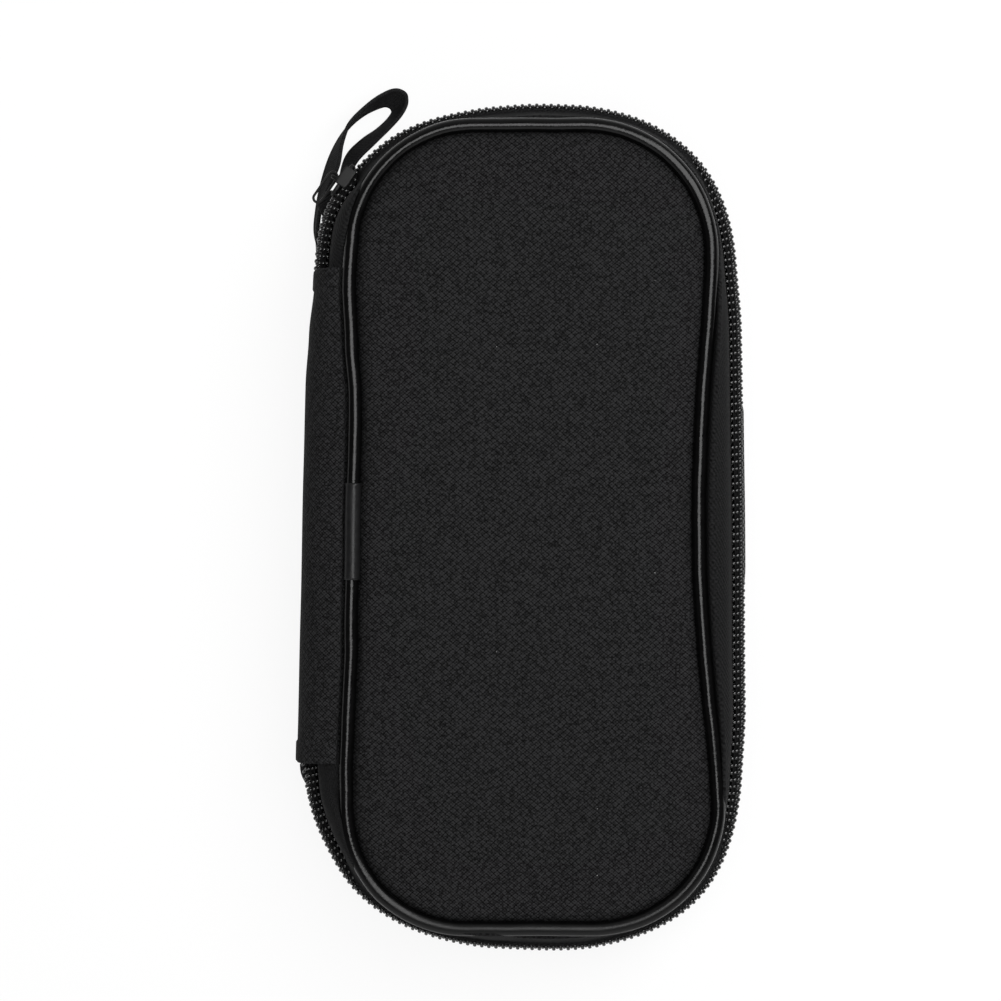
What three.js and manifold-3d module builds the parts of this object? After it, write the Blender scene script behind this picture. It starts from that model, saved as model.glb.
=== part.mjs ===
// A zipped soft case for a glucose meter: two padded panels with piped edges, joined round three
// sides by a coil zip and along the fourth by a cloth spine that folds as the hinge.
// Millimetres, +Z out of the front panel, +Y toward the hang loop. The origin is the middle of
// the back panel's flat face.
import * as THREE from 'three';
import { mergeVertices } from 'three/addons/utils/BufferGeometryUtils.js';
import Module from 'manifold-3d';

const wasm = await Module();
wasm.setup();

// Closed case: the outline is the outer edge of the zip chain
const CASE_LENGTH = 175.2;
const CASE_WIDTH_TOP = 87.7;
const CASE_WIDTH_BOTTOM = 91.4;
const CASE_DEPTH = 34;
const CORNER_BOTTOM_SPINE = 40;
const CORNER_BOTTOM_OPEN = 35;
const CORNER_TOP_OPEN = 34;
const CORNER_TOP_SPINE = 38;
const CLEARANCE = 0.35;

// Piped panels: how far the bead lies inside the outline, and the waist of its two long sides
const PIPING_RADIUS = 1.45;
const PIPING_INSET_END = 5.15;
const PIPING_INSET_SPINE = 8.3;
const PIPING_INSET_OPEN = 5.9;
const PIPING_CORNER = 25.5;
const PIPING_LEVEL = 14;
const WAIST_SPINE = 1.7;
const WAIST_SPINE_SKEW = 0.7;
const WAIST_OPEN = 3;
const WAIST_POWER = 1.4;
const SLEEVE_WALL = 0.3;
const SLEEVE_FIT = 0.25;
const SLEEVE_LENGTH = 19.8;
const SLEEVE_OFFSET = 0.6;

// Layers of a panel, from the outside in
const PANEL_THICKNESS = 0.8;
const PANEL_EDGE_LEVEL = 14.4;
const BACK_ROUND_WIDTH = 9;
const FRONT_CROWN_WIDTH = 24;
const FOAM_EDGE = 1.2;
const BOARD_THICKNESS = 0.8;
const LINING_THICKNESS = 0.6;
const BINDING_WIDTH = 2.2;
const BINDING_HEIGHT = 3.6;
const BINDING_NOSE = 0.7;

// Zip: tape and coil, measured from the parting plane of the chain
const TAPE_THICKNESS = 0.6;
const TAPE_EDGE = 1.3;
const TAPE_UPRIGHT = 5.2;
const COIL_PITCH = 1.5;
const COIL_DEPTH = 2.2;
const COIL_HEIGHT = 3.1;
const COIL_HEAD = 0.45;
const COIL_HEAD_LENGTH = 1.5;
const COIL_SLANT = 0.35;

// Spine cover: its length along the outline, and how far it stands off the chain
const SPINE_LENGTH = 103;
const SPINE_THICKNESS = 0.8;
const SPINE_STANDOFF = 0.45;
const SPINE_FOLD_GAP = 0.15;
const SPINE_SHOULDER = 12.2;
const SPINE_UPRIGHT = 7.3;
const TAPE_TUCK = 11;
const COIL_TUCK = 4;

// Slider: place on the top spine corner, body and bridge
const SLIDER_ANGLE = 145.2;
const SLIDER_LENGTH = 8.4;
const SLIDER_PLATE = 1;
const SLIDER_FLANGE = 0.75;
const SLIDER_FLANGE_LENGTH = 5.5;
const SLIDER_TAPE_SLOT = 0.6;
const SLIDER_SHOULDER_RUN = 1;
const SLIDER_SHOULDER_DROP = 0.4;
const SLIDER_NOSE_RUN = 0.5;
const SLIDER_NOSE_DROP = 1;
const SLIDER_POST_LENGTH = 2.4;
const SLIDER_POST_BACK = 0.4;
const SLIDER_POST_HALF = 0.5;
const SLIDER_POST_TIP = 0.1;
const CHAIN_PARTING = 1.4;
const PARTING_FROM = 0.84;
const BRIDGE_AT = 0.3;
const BRIDGE_GAP = 1.4;
const BRIDGE_LUG = 0.8;
const BRIDGE_LUG_LENGTH = 2.4;
const BRIDGE_BAR = 0.42;
const RING_WIRE = 0.7;
const RING_LENGTH = 8;
const RING_LIFT = 0.7;

// Hang loop: ribbon on edge, its route given by distance along the chain from the spine's top end
// and distance out from the chain, for its upper and its lower edge
const RIBBON_WIDTH = 6.8;
const RIBBON_THICKNESS = 0.9;
const RIBBON_UPPER_EDGE = [
  [-5, -0.9], [0, -0.8], [4.5, 0.3], [9.1, 1.5], [13.2, 2.5], [17.4, 3], [22, 4], [25.6, 6.6],
  [28.6, 8.4], [32.5, 9.1], [36.1, 9.4], [38.6, 9], [39.8, 7.2], [39.3, 5.4], [37.5, 3.8],
  [34.4, 2.6], [29.8, 1.8], [24.5, 1.6], [20, 0.6], [16, -0.6], [13, -1.7],
];
const RIBBON_LOWER_EDGE = [
  [-5, -4.4], [0, -4], [4, -0.6], [8, 2], [12, 3.4], [16.2, 4.9], [20.6, 6.5], [24.8, 7.8],
  [28.4, 8.5], [31.4, 8.4], [33.9, 7.8], [35.4, 7.2], [36, 6.3], [35.8, 5.4], [34.6, 4.7],
  [31.6, 4.2], [28.2, 4.6], [24.4, 4.6], [20.5, 2.8], [16.6, 0.2], [13, -2.4],
];

// Inside fittings of elastic and net. An elastic loop lies by the spine, by the open side or
// midway, at a height from the middle of the case.
const ELASTIC_THICKNESS = 1;
const ELASTIC_RISE = 8.2;
const ELASTIC_FOOT = 4;
const ELASTIC_LEAN = 2.5;
const ELASTIC_SHOULDER = 5;
const ELASTIC_MARGIN = 2.5;
const METER_STRAP = { by: 'spine', height: 27, span: 32, width: 30 };
const LANCER_LOOP = { by: 'open', height: 0, span: 13, width: 18 };
const VIAL_LOOP = { by: 'middle', height: -42, span: 26, width: 22 };
const NET_THICKNESS = 0.6;
const NET_SLACK = 0.4;
const POCKET_MOUTH = 14;
const POCKET_BINDING_WIDTH = 7;
const POCKET_BINDING_THICKNESS = 1.4;

// Smoothness of the curves
const CORNER_STEPS = 7;
const SIDE_STEPS = [6, 2, 6, 2];
const BEAD_SIDES = 8;
const RIBBON_STEPS = 60;
const LEAF_STEPS = 5;
const SLEEVE_STEPS = 3;
const RING_STEPS = 6;
const STATION_MARGIN = 1;

const MID = CASE_DEPTH / 2;

// Materials, one colour each as in the photograph
const paint = (color, roughness, metalness = 0) =>
  new THREE.MeshStandardMaterial({ color, roughness, metalness });
const oxford = () => paint(0x1d1d1e, 0.85);
const vinyl = () => paint(0x101011, 0.3);
const tapeCloth = () => paint(0x19191a, 0.8);
const nylon = () => paint(0x121213, 0.4);
const padding = () => paint(0x2b2b2d, 0.95);
const board = () => paint(0x2f3032, 0.6);
const tricot = () => paint(0x1a1a1c, 0.9);
const elastic = () => paint(0x171718, 0.85);
const metal = () => paint(0x3b3b3d, 0.35, 0.9);

// A closed outline of four corner arcs joined by their outer tangents. It runs counter-clockwise:
// spine side, bottom spine corner, bottom, bottom open corner, open side, and so on. Even
// stretches are the straight sides, odd ones the corners. A dip draws a side in at its waist.
class Belt {
  constructor(corners, dips = []) {
    this.corners = corners;
    this.dips = dips;
    this.normals = corners.map((to, k) => {
      const from = corners[(k + 3) % 4];
      const run = new THREE.Vector2(to.x - from.x, to.y - from.y);
      return run.angle() - Math.acos((from.r - to.r) / run.length());
    });
    this.lengths = [];
    for (let k = 0; k < 4; k += 1) {
      const a = this.edge(k, (k + 3) % 4);
      const b = this.edge(k, k);
      this.lengths.push(a.distanceTo(b), this.turn(k) * corners[k].r);
    }
    this.total = this.lengths.reduce((sum, part) => sum + part, 0);
  }

  edge(side, corner) {
    const { x, y, r } = this.corners[corner];
    const angle = this.normals[side];
    return new THREE.Vector2(x + r * Math.cos(angle), y + r * Math.sin(angle));
  }

  turn(k) {
    const full = 2 * Math.PI;
    return (((this.normals[(k + 1) % 4] - this.normals[k]) % full) + full) % full;
  }

  // The point at fraction t of a stretch, moved out along its normal
  on([stretch, t], out = 0) {
    const k = stretch >> 1;
    if (stretch % 2) {
      const { x, y, r } = this.corners[k];
      const angle = this.normals[k] + t * this.turn(k);
      return new THREE.Vector2(x + (r + out) * Math.cos(angle), y + (r + out) * Math.sin(angle));
    }
    const point = this.edge(k, (k + 3) % 4).lerp(this.edge(k, k), t);
    const push = out - (this.dips[k] ? this.dips[k](t) : 0);
    const angle = this.normals[k];
    return new THREE.Vector2(point.x + push * Math.cos(angle), point.y + push * Math.sin(angle));
  }

  // The stretch and fraction at a distance along the outline from the middle of the spine side
  locate(distance) {
    let left = (distance + this.lengths[0] / 2 + this.total) % this.total;
    let stretch = 0;
    while (left > this.lengths[stretch]) {
      left -= this.lengths[stretch];
      stretch += 1;
    }
    return [stretch, left / this.lengths[stretch]];
  }

  distance([stretch, t]) {
    const before = this.lengths.slice(0, stretch).reduce((sum, part) => sum + part, 0);
    return before + t * this.lengths[stretch] - this.lengths[0] / 2;
  }
}

const TOP = CASE_LENGTH / 2;
const chain = new Belt([
  { x: CORNER_BOTTOM_SPINE - CASE_WIDTH_BOTTOM / 2, y: CORNER_BOTTOM_SPINE - TOP,
    r: CORNER_BOTTOM_SPINE },
  { x: CASE_WIDTH_BOTTOM / 2 - CORNER_BOTTOM_OPEN, y: CORNER_BOTTOM_OPEN - TOP,
    r: CORNER_BOTTOM_OPEN },
  { x: CASE_WIDTH_TOP / 2 - CORNER_TOP_OPEN, y: TOP - CORNER_TOP_OPEN, r: CORNER_TOP_OPEN },
  { x: CORNER_TOP_SPINE - CASE_WIDTH_TOP / 2, y: TOP - CORNER_TOP_SPINE, r: CORNER_TOP_SPINE },
]);

const pipingTop = TOP - PIPING_INSET_END - PIPING_CORNER;
const pipingSpine = (width) => PIPING_CORNER + PIPING_INSET_SPINE - width / 2;
const pipingOpen = (width) => width / 2 - PIPING_INSET_OPEN - PIPING_CORNER;
const dip = (depth, skew) => (t) => depth * Math.sin(Math.PI * t ** skew) ** WAIST_POWER;
const piping = new Belt([
  { x: pipingSpine(CASE_WIDTH_BOTTOM), y: -pipingTop, r: PIPING_CORNER },
  { x: pipingOpen(CASE_WIDTH_BOTTOM), y: -pipingTop, r: PIPING_CORNER },
  { x: pipingOpen(CASE_WIDTH_TOP), y: pipingTop, r: PIPING_CORNER },
  { x: pipingSpine(CASE_WIDTH_TOP), y: pipingTop, r: PIPING_CORNER },
], [dip(WAIST_SPINE, WAIST_SPINE_SKEW), null, dip(WAIST_OPEN, 1), null]);

// Stations round the whole outline, and the chain distances of those in a run
const ROUND = [];
for (let stretch = 0; stretch < 8; stretch += 1) {
  const steps = stretch % 2 ? CORNER_STEPS : SIDE_STEPS[stretch >> 1];
  for (let i = 0; i < steps; i += 1) ROUND.push([stretch, i / steps]);
}

function distancesBetween(from, to) {
  const inside = ROUND.map((at) => {
    const distance = chain.distance(at);
    return distance < from ? distance + chain.total : distance;
  }).filter((distance) => distance > from + STATION_MARGIN && distance < to - STATION_MARGIN);
  inside.sort((a, b) => a - b);
  return [from, ...inside, to];
}

// A closed skin over rows of points. Each row is a closed loop. The rows either close on
// themselves or end in two flat caps.
function skin(rows, closed = false) {
  const width = rows[0].length;
  const index = [];
  const last = closed ? rows.length : rows.length - 1;
  for (let i = 0; i < last; i += 1) {
    const here = i * width;
    const next = ((i + 1) % rows.length) * width;
    for (let j = 0; j < width; j += 1) {
      const k = (j + 1) % width;
      index.push(here + j, here + k, next + k, here + j, next + k, next + j);
    }
  }
  if (!closed) {
    for (const [row, start, flip] of [[rows[0], 0, true], [rows.at(-1), last * width, false]]) {
      for (const [a, b, c] of capTriangles(row)) {
        index.push(start + a, start + (flip ? c : b), start + (flip ? b : c));
      }
    }
  }
  return closedBody(rows.flat(), index);
}

// Triangles of a flat loop, in its own turning sense
function capTriangles(loop) {
  const normal = new THREE.Vector3();
  loop.forEach((p, i) => {
    normal.add(new THREE.Vector3().crossVectors(p, loop[(i + 1) % loop.length]));
  });
  const across = new THREE.Vector3().subVectors(loop[1], loop[0]).normalize();
  const up = new THREE.Vector3().crossVectors(normal.normalize(), across);
  const flat = loop.map((p) => new THREE.Vector2(p.dot(across), p.dot(up)));
  return THREE.ShapeUtils.triangulateShape(flat, []);
}

// A body from points and triangles that all turn one way, with its faces outward
function closedBody(points, index) {
  let volume = 0;
  for (let i = 0; i < index.length; i += 3) {
    const [a, b, c] = [0, 1, 2].map((j) => points[index[i + j]]);
    volume += a.dot(new THREE.Vector3().crossVectors(b, c));
  }
  const geometry = new THREE.BufferGeometry();
  geometry.setFromPoints(points);
  geometry.setIndex(volume < 0 ? index.reverse() : index);
  geometry.computeVertexNormals();
  return geometry;
}

// Levels are heights from the parting plane: up on the front half, down on the rear half
const FRONT = 1;
const REAR = -1;
const lift = (point, half, level) => new THREE.Vector3(point.x, point.y, MID + half * level);
const loopAt = (half, inset, level, share = 0) => ROUND.map((at) => {
  const edge = piping.on(at, -inset);
  const middle = new THREE.Vector2(0, THREE.MathUtils.clamp(edge.y, -pipingTop, pipingTop));
  return lift(edge.lerp(middle, share), half, level);
});

// Sheet layers of a panel
const SLEEVE_BORE = PIPING_RADIUS + SLEEVE_FIT;
const SLEEVE_RADIUS = SLEEVE_BORE + SLEEVE_WALL;
const PANEL_INSET = SLEEVE_RADIUS + CLEARANCE;
const LAYER_INSET = CLEARANCE + TAPE_THICKNESS / 2 + BINDING_WIDTH + CLEARANCE;
const BOARD_TOP = PANEL_EDGE_LEVEL - PANEL_THICKNESS - CLEARANCE - FOAM_EDGE - CLEARANCE;
const LINING_TOP = BOARD_TOP - BOARD_THICKNESS - CLEARANCE;
const LINING_FACE = LINING_TOP - LINING_THICKNESS;

// The crown of a panel: a quarter sine from its edge to its flat middle, in loops that draw in
// toward the panel's middle line
const crownShare = (half) =>
  (half === FRONT ? FRONT_CROWN_WIDTH : BACK_ROUND_WIDTH) / (CASE_WIDTH_TOP / 2);
const CROWN_STEPS = [0, 0.25, 0.55, 1];

function crownLoops(half, inset, depth) {
  return CROWN_STEPS.map((step) => {
    const rise = (MID - PANEL_EDGE_LEVEL) * Math.sin(step * Math.PI / 2);
    return loopAt(half, inset, PANEL_EDGE_LEVEL + rise - depth, step * crownShare(half));
  });
}

const panelSheet = (half) => skin([
  ...crownLoops(half, PANEL_INSET, PANEL_THICKNESS).reverse(),
  ...crownLoops(half, PANEL_INSET, 0),
]);

const foamPad = (half) => skin([
  loopAt(half, LAYER_INSET, BOARD_TOP + CLEARANCE),
  ...crownLoops(half, LAYER_INSET, PANEL_THICKNESS + CLEARANCE),
]);

const flatSheet = (half, top, thickness) =>
  skin([loopAt(half, LAYER_INSET, top - thickness), loopAt(half, LAYER_INSET, top)]);

// Piping bead, the sleeve over its joint, and the bias binding inside the seam
function beadLoop(at, half, radius) {
  const middle = piping.on(at);
  const out = piping.on(at, 1).sub(middle);
  return Array.from({ length: BEAD_SIDES }, (_, i) => {
    const angle = ((i + 0.5) / BEAD_SIDES) * 2 * Math.PI;
    const reach = radius * Math.cos(angle);
    const level = PIPING_LEVEL + radius * Math.sin(angle);
    return lift(middle.clone().addScaledVector(out, reach), half, level);
  });
}

const pipingBead = (half) => skin(ROUND.map((at) => beadLoop(at, half, PIPING_RADIUS)), true);

function pipingSleeve(half) {
  const from = SLEEVE_OFFSET - SLEEVE_LENGTH / 2;
  const run = Array.from({ length: SLEEVE_STEPS + 1 }, (_, i) =>
    piping.locate(from + (i / SLEEVE_STEPS) * SLEEVE_LENGTH));
  return skin([
    ...run.map((at) => beadLoop(at, half, SLEEVE_RADIUS)),
    ...[...run].reverse().map((at) => beadLoop(at, half, SLEEVE_BORE)),
  ], true);
}

const bindingOut = -(TAPE_THICKNESS / 2 + CLEARANCE);
const BINDING_TOP = PIPING_LEVEL - SLEEVE_RADIUS - CLEARANCE;

function seamBinding(half) {
  const inner = bindingOut - BINDING_WIDTH;
  const middle = bindingOut - BINDING_WIDTH / 2;
  const bottom = BINDING_TOP - BINDING_HEIGHT;
  const section = [
    [bindingOut, BINDING_TOP], [bindingOut, bottom + BINDING_NOSE], [middle, bottom],
    [inner, bottom + BINDING_NOSE], [inner, BINDING_TOP],
  ];
  return skin(ROUND.map((at) =>
    section.map(([out, level]) => lift(piping.on(at, out), half, level))), true);
}

// Zip tape: upright behind the coil, then leaning in to the seam under the piping
const TAPE_FROM = SPINE_LENGTH / 2 - TAPE_TUCK;
const TAPE_OUT = -(COIL_DEPTH + CLEARANCE);
const TAPE_TOP = PIPING_LEVEL - PIPING_RADIUS - CLEARANCE;

function zipTape(half) {
  const inner = TAPE_OUT - TAPE_THICKNESS;
  const seam = TAPE_THICKNESS / 2;
  const run = distancesBetween(TAPE_FROM, chain.total - TAPE_FROM);
  return skin(run.map((distance) => chain.locate(distance)).map((at) => [
    lift(chain.on(at, TAPE_OUT), half, TAPE_EDGE),
    lift(chain.on(at, TAPE_OUT), half, TAPE_UPRIGHT),
    lift(piping.on(at, seam), half, TAPE_TOP),
    lift(piping.on(at, -seam), half, TAPE_TOP),
    lift(chain.on(at, inner), half, TAPE_UPRIGHT),
    lift(chain.on(at, inner), half, TAPE_EDGE),
  ]));
}

// Coil chain: a strip whose heads reach past the parting plane into the other half's gaps. The
// rear half is set on by half a pitch. Between the slider and the spine the halves stand apart.
const sliderCorner = chain.corners[3];
const SLIDER_AT = chain.distance([7,
  (THREE.MathUtils.degToRad(SLIDER_ANGLE) - chain.normals[3] % (2 * Math.PI)) / chain.turn(3)]);

function parting(distance) {
  const from = SLIDER_AT - SLIDER_LENGTH / 2 + PARTING_FROM;
  return CHAIN_PARTING * THREE.MathUtils.smoothstep(distance, from, from + SLIDER_LENGTH);
}

function coilHalf(half) {
  const hidden = SPINE_LENGTH / 2 - COIL_TUCK;
  const count = Math.floor((chain.total - 2 * hidden) / COIL_PITCH) - 1;
  const start = hidden + (half === REAR ? COIL_PITCH / 2 : 0);
  const points = [];
  const put = (distance, level, out) => {
    points.push(lift(chain.on(chain.locate(distance), out), half, level + parting(distance)));
    return points.length - 1;
  };
  const pair = (distance, level, slant) =>
    [put(distance + slant, level, 0), put(distance, level, -COIL_DEPTH)];
  const root = (i) => {
    const distance = start + i * COIL_PITCH;
    return [...pair(distance, COIL_HEIGHT, 0),
      ...pair(distance, COIL_HEAD_LENGTH - COIL_HEAD, COIL_SLANT)];
  };
  const index = [];
  const quad = (a, b, c, d) => index.push(a, b, c, a, c, d);
  const first = root(0);
  let [topOut, topIn, lowOut, lowIn] = first;
  for (let i = 0; i < count; i += 1) {
    const [headOut, headIn] = pair(start + (i + 0.5) * COIL_PITCH, -COIL_HEAD, COIL_SLANT);
    const [nextTopOut, nextTopIn, nextLowOut, nextLowIn] = root(i + 1);
    quad(topOut, lowOut, nextLowOut, nextTopOut);
    index.push(lowOut, headOut, nextLowOut);
    quad(nextTopIn, nextLowIn, lowIn, topIn);
    index.push(nextLowIn, headIn, lowIn);
    quad(lowOut, lowIn, headIn, headOut);
    quad(headOut, headIn, nextLowIn, nextLowOut);
    quad(topIn, topOut, nextTopOut, nextTopIn);
    [topOut, topIn, lowOut, lowIn] = [nextTopOut, nextTopIn, nextLowOut, nextLowIn];
  }
  quad(first[0], first[1], first[3], first[2]);
  quad(topOut, lowOut, lowIn, topIn);
  return closedBody(points, index);
}

// Spine cover: one leaf on each half, meeting at the fold line. Its ends run straight across, so
// the seam point is the piping's point level with the chain's.
const SPINE_SHIFT = piping.on([0, 0.5]).y - chain.on([0, 0.5]).y;

function spineLeaf(half) {
  const out = SPINE_STANDOFF + SPINE_THICKNESS;
  const seam = SLEEVE_RADIUS + CLEARANCE;
  const end = PIPING_LEVEL - CLEARANCE;
  const face = (distance, stand, low) => {
    const side = chain.on(chain.locate(distance), stand);
    const seamAt = piping.locate(distance + SPINE_SHIFT);
    return new THREE.CubicBezierCurve3(
      lift(side, half, SPINE_FOLD_GAP),
      lift(side, half, SPINE_UPRIGHT - low),
      lift(side, half, SPINE_SHOULDER - low),
      lift(piping.on(seamAt, seam), half, end - low),
    ).getPoints(LEAF_STEPS);
  };
  return skin(distancesBetween(-SPINE_LENGTH / 2, SPINE_LENGTH / 2).map((distance) => [
    ...face(distance, out, 0), ...face(distance, SPINE_STANDOFF, SPINE_THICKNESS).reverse(),
  ]));
}

// Hang loop: a ribbon between two curves, standing on edge
function hangLoop() {
  const spineTop = chain.total - SPINE_LENGTH / 2;
  const edgeCurve = (route) => new THREE.CatmullRomCurve3(route.map(([back, out]) =>
    lift(chain.on(chain.locate(spineTop - back), out), REAR, SLIDER_HALF_WIDTH + CLEARANCE)));
  const upper = edgeCurve(RIBBON_UPPER_EDGE).getPoints(RIBBON_STEPS);
  const lower = edgeCurve(RIBBON_LOWER_EDGE).getPoints(RIBBON_STEPS);
  return skin(upper.map((top, i) => {
    const before = upper[Math.max(i - 1, 0)];
    const after = upper[Math.min(i + 1, RIBBON_STEPS)];
    const along = new THREE.Vector3().subVectors(after, before).normalize();
    const bottom = lower[i].clone();
    const lean = Math.hypot(bottom.x - top.x, bottom.y - top.y);
    bottom.z = top.z - Math.sqrt(Math.max(RIBBON_WIDTH ** 2 - lean ** 2, 0));
    const side = new THREE.Vector3(along.y, -along.x, 0).multiplyScalar(RIBBON_THICKNESS / 2);
    return [
      top.clone().add(side), top.clone().sub(side),
      bottom.clone().sub(side), bottom.clone().add(side),
    ];
  }));
}

// Elastic loops on the rear lining: two sewn feet and a raised band
function elasticLoop({ by, height, span, width }) {
  const seat = MID - LINING_FACE + CLEARANCE;
  const [open, spine] = rimAcross(height).map((p) => p.x);
  const reach = ELASTIC_MARGIN + ELASTIC_FOOT + span / 2;
  const across = { spine: spine + reach, open: open - reach, middle: (spine + open) / 2 }[by];
  const leg = (thickness) => {
    const foot = span / 2 + thickness;
    const crown = foot - ELASTIC_LEAN;
    return [
      [span / 2 + ELASTIC_FOOT, thickness], [foot, thickness],
      [(foot + crown) / 2, ELASTIC_SHOULDER + thickness], [crown, ELASTIC_RISE + thickness],
    ];
  };
  const arch = (thickness) => {
    const right = leg(thickness);
    return [...right, ...[...right].reverse().map(([x, z]) => [-x, z])];
  };
  const points = [...arch(0), ...arch(ELASTIC_THICKNESS).reverse()]
    .map(([x, z]) => new THREE.Vector2(x, z));
  const band = new THREE.ExtrudeGeometry(new THREE.Shape(points),
    { depth: width, bevelEnabled: false });
  band.rotateX(Math.PI / 2);
  band.translate(across, height + width / 2, seat);
  return band;
}

// Net pocket under the front lining, open along a straight mouth, with a bound edge
const POCKET_LEVEL = LINING_FACE - NET_SLACK;

const layerRim = () => ROUND.map((at) => piping.on(at, -LAYER_INSET));

// The two points of the layers' rim at one height, the open side first
function rimAcross(y) {
  const rim = layerRim();
  return rim.flatMap((a, i) => {
    const b = rim[(i + 1) % rim.length];
    return (a.y < y) === (b.y < y) ? [] : [a.clone().lerp(b, (y - a.y) / (b.y - a.y))];
  }).sort((a, b) => b.x - a.x);
}

function netPocket() {
  const below = layerRim().filter((p) => p.y < POCKET_MOUTH - STATION_MARGIN);
  const outline = [...below, ...rimAcross(POCKET_MOUTH)];
  return skin([
    outline.map((p) => lift(p, FRONT, POCKET_LEVEL - NET_THICKNESS)),
    outline.map((p) => lift(p, FRONT, POCKET_LEVEL)),
  ]);
}

function pocketBinding() {
  const bottom = POCKET_MOUTH + CLEARANCE;
  const outline = [
    ...rimAcross(bottom), ...rimAcross(bottom + POCKET_BINDING_WIDTH).reverse(),
  ];
  return skin([
    outline.map((p) => lift(p, FRONT, POCKET_LEVEL - POCKET_BINDING_THICKNESS)),
    outline.map((p) => lift(p, FRONT, POCKET_LEVEL)),
  ]);
}

// Slider: outer plate with turned-in flanges, inner plate, the post between them and a bridge.
// In its own frame X is outward from the chain's outer edge, Y along the chain to the open end.
function toSolid(geometry) {
  const bare = geometry.clone();
  bare.deleteAttribute('normal');
  bare.deleteAttribute('uv');
  const merged = mergeVertices(bare);
  return new wasm.Manifold(new wasm.Mesh({
    numProp: 3,
    vertProperties: new Float32Array(merged.attributes.position.array),
    triVerts: new Uint32Array(merged.index.array),
  }));
}

function fuse(geometries) {
  const mesh = geometries.map(toSolid).reduce((sum, next) => sum.add(next)).getMesh();
  const geometry = new THREE.BufferGeometry();
  geometry.setAttribute('position', new THREE.Float32BufferAttribute(mesh.vertProperties, 3));
  geometry.setIndex([...mesh.triVerts]);
  geometry.computeVertexNormals();
  return geometry;
}

// A flat outline in Y and Z, extruded outward from one X to another
function plate(outline, from, to) {
  const shape = new THREE.Shape(outline.map(([y, z]) => new THREE.Vector2(y, z)));
  const body = new THREE.ExtrudeGeometry(shape, { depth: to - from, bevelEnabled: false });
  body.applyMatrix4(new THREE.Matrix4().makeBasis(
    new THREE.Vector3(0, 1, 0), new THREE.Vector3(0, 0, 1), new THREE.Vector3(1, 0, 0)));
  body.translate(from, 0, 0);
  return body;
}

const mirrored = (outline) => [...outline, ...[...outline].reverse().map(([y, z]) => [y, -z])];
const SLIDER_END = SLIDER_LENGTH / 2;
const sagitta = SLIDER_END ** 2 / (2 * CORNER_TOP_SPINE);
const PLATE_IN = CLEARANCE;
const PLATE_OUT = PLATE_IN + SLIDER_PLATE;
const BRIDGE_BAR_OUT = PLATE_OUT + CLEARANCE + RING_WIRE + CLEARANCE + BRIDGE_BAR;

const SLIDER_MOUTH = COIL_HEIGHT + CLEARANCE;
const FLANGE_END = SLIDER_FLANGE_LENGTH - SLIDER_END;
const sliderHalf = (y) => SLIDER_MOUTH + parting(SLIDER_AT + y);
const SLIDER_HALF_WIDTH = sliderHalf(FLANGE_END) + SLIDER_FLANGE;

function zipSlider() {
  const narrow = SLIDER_MOUTH + SLIDER_FLANGE;
  const shield = mirrored([
    [-SLIDER_END, narrow], [FLANGE_END, SLIDER_HALF_WIDTH],
    [FLANGE_END + SLIDER_SHOULDER_RUN, SLIDER_HALF_WIDTH - SLIDER_SHOULDER_DROP],
    [SLIDER_END - SLIDER_NOSE_RUN, SLIDER_MOUTH - SLIDER_NOSE_DROP],
    [SLIDER_END, SLIDER_MOUTH - 2 * SLIDER_NOSE_DROP],
  ]);
  const inner = TAPE_OUT - TAPE_THICKNESS - 2 * sagitta - CLEARANCE;
  const flange = (side) => plate([
    [-SLIDER_END, side * SLIDER_MOUTH], [FLANGE_END, side * sliderHalf(FLANGE_END)],
    [FLANGE_END, side * SLIDER_HALF_WIDTH], [-SLIDER_END, side * narrow],
  ], TAPE_OUT + SLIDER_TAPE_SLOT, PLATE_OUT);
  const postEnd = SLIDER_END - SLIDER_POST_BACK;
  const post = plate(mirrored([
    [postEnd - SLIDER_POST_LENGTH, SLIDER_POST_TIP],
    [postEnd - SLIDER_POST_LENGTH / 2, SLIDER_POST_HALF], [postEnd, SLIDER_POST_HALF / 2],
  ]), inner - SLIDER_PLATE / 2, PLATE_OUT - SLIDER_PLATE / 2);
  const lug = (side) => {
    const body = new THREE.BoxGeometry(
      BRIDGE_BAR_OUT + BRIDGE_BAR - PLATE_IN, BRIDGE_LUG_LENGTH, BRIDGE_LUG);
    body.translate((BRIDGE_BAR_OUT + BRIDGE_BAR + PLATE_IN) / 2, BRIDGE_AT,
      side * (BRIDGE_GAP + BRIDGE_LUG / 2));
    return body;
  };
  const bar = new THREE.CylinderGeometry(
    BRIDGE_BAR, BRIDGE_BAR, 2 * BRIDGE_GAP + BRIDGE_LUG, BEAD_SIDES);
  bar.rotateX(Math.PI / 2);
  bar.translate(BRIDGE_BAR_OUT, BRIDGE_AT, 0);
  return fuse([
    plate(shield, PLATE_IN, PLATE_OUT), plate(shield, inner - SLIDER_PLATE, inner),
    flange(1), flange(-1), post, lug(1), lug(-1), bar,
  ]);
}

// Pull ring: a flat oval link round the bridge's bar
function pullRing() {
  const bore = BRIDGE_BAR + CLEARANCE / 2;
  const oval = (radius) => {
    const far = RING_LENGTH - 2 * (bore + RING_WIRE);
    const path = new THREE.Shape();
    path.absarc(0, far, radius, 0, Math.PI, false);
    path.absarc(0, 0, radius, Math.PI, 2 * Math.PI, false);
    return path;
  };
  const shape = oval(bore + RING_WIRE);
  shape.holes.push(oval(bore));
  const ring = new THREE.ExtrudeGeometry(shape,
    { depth: RING_WIRE, bevelEnabled: false, curveSegments: RING_STEPS });
  ring.translate(BRIDGE_BAR_OUT, BRIDGE_AT, RING_LIFT - RING_WIRE / 2);
  return ring;
}

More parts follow.
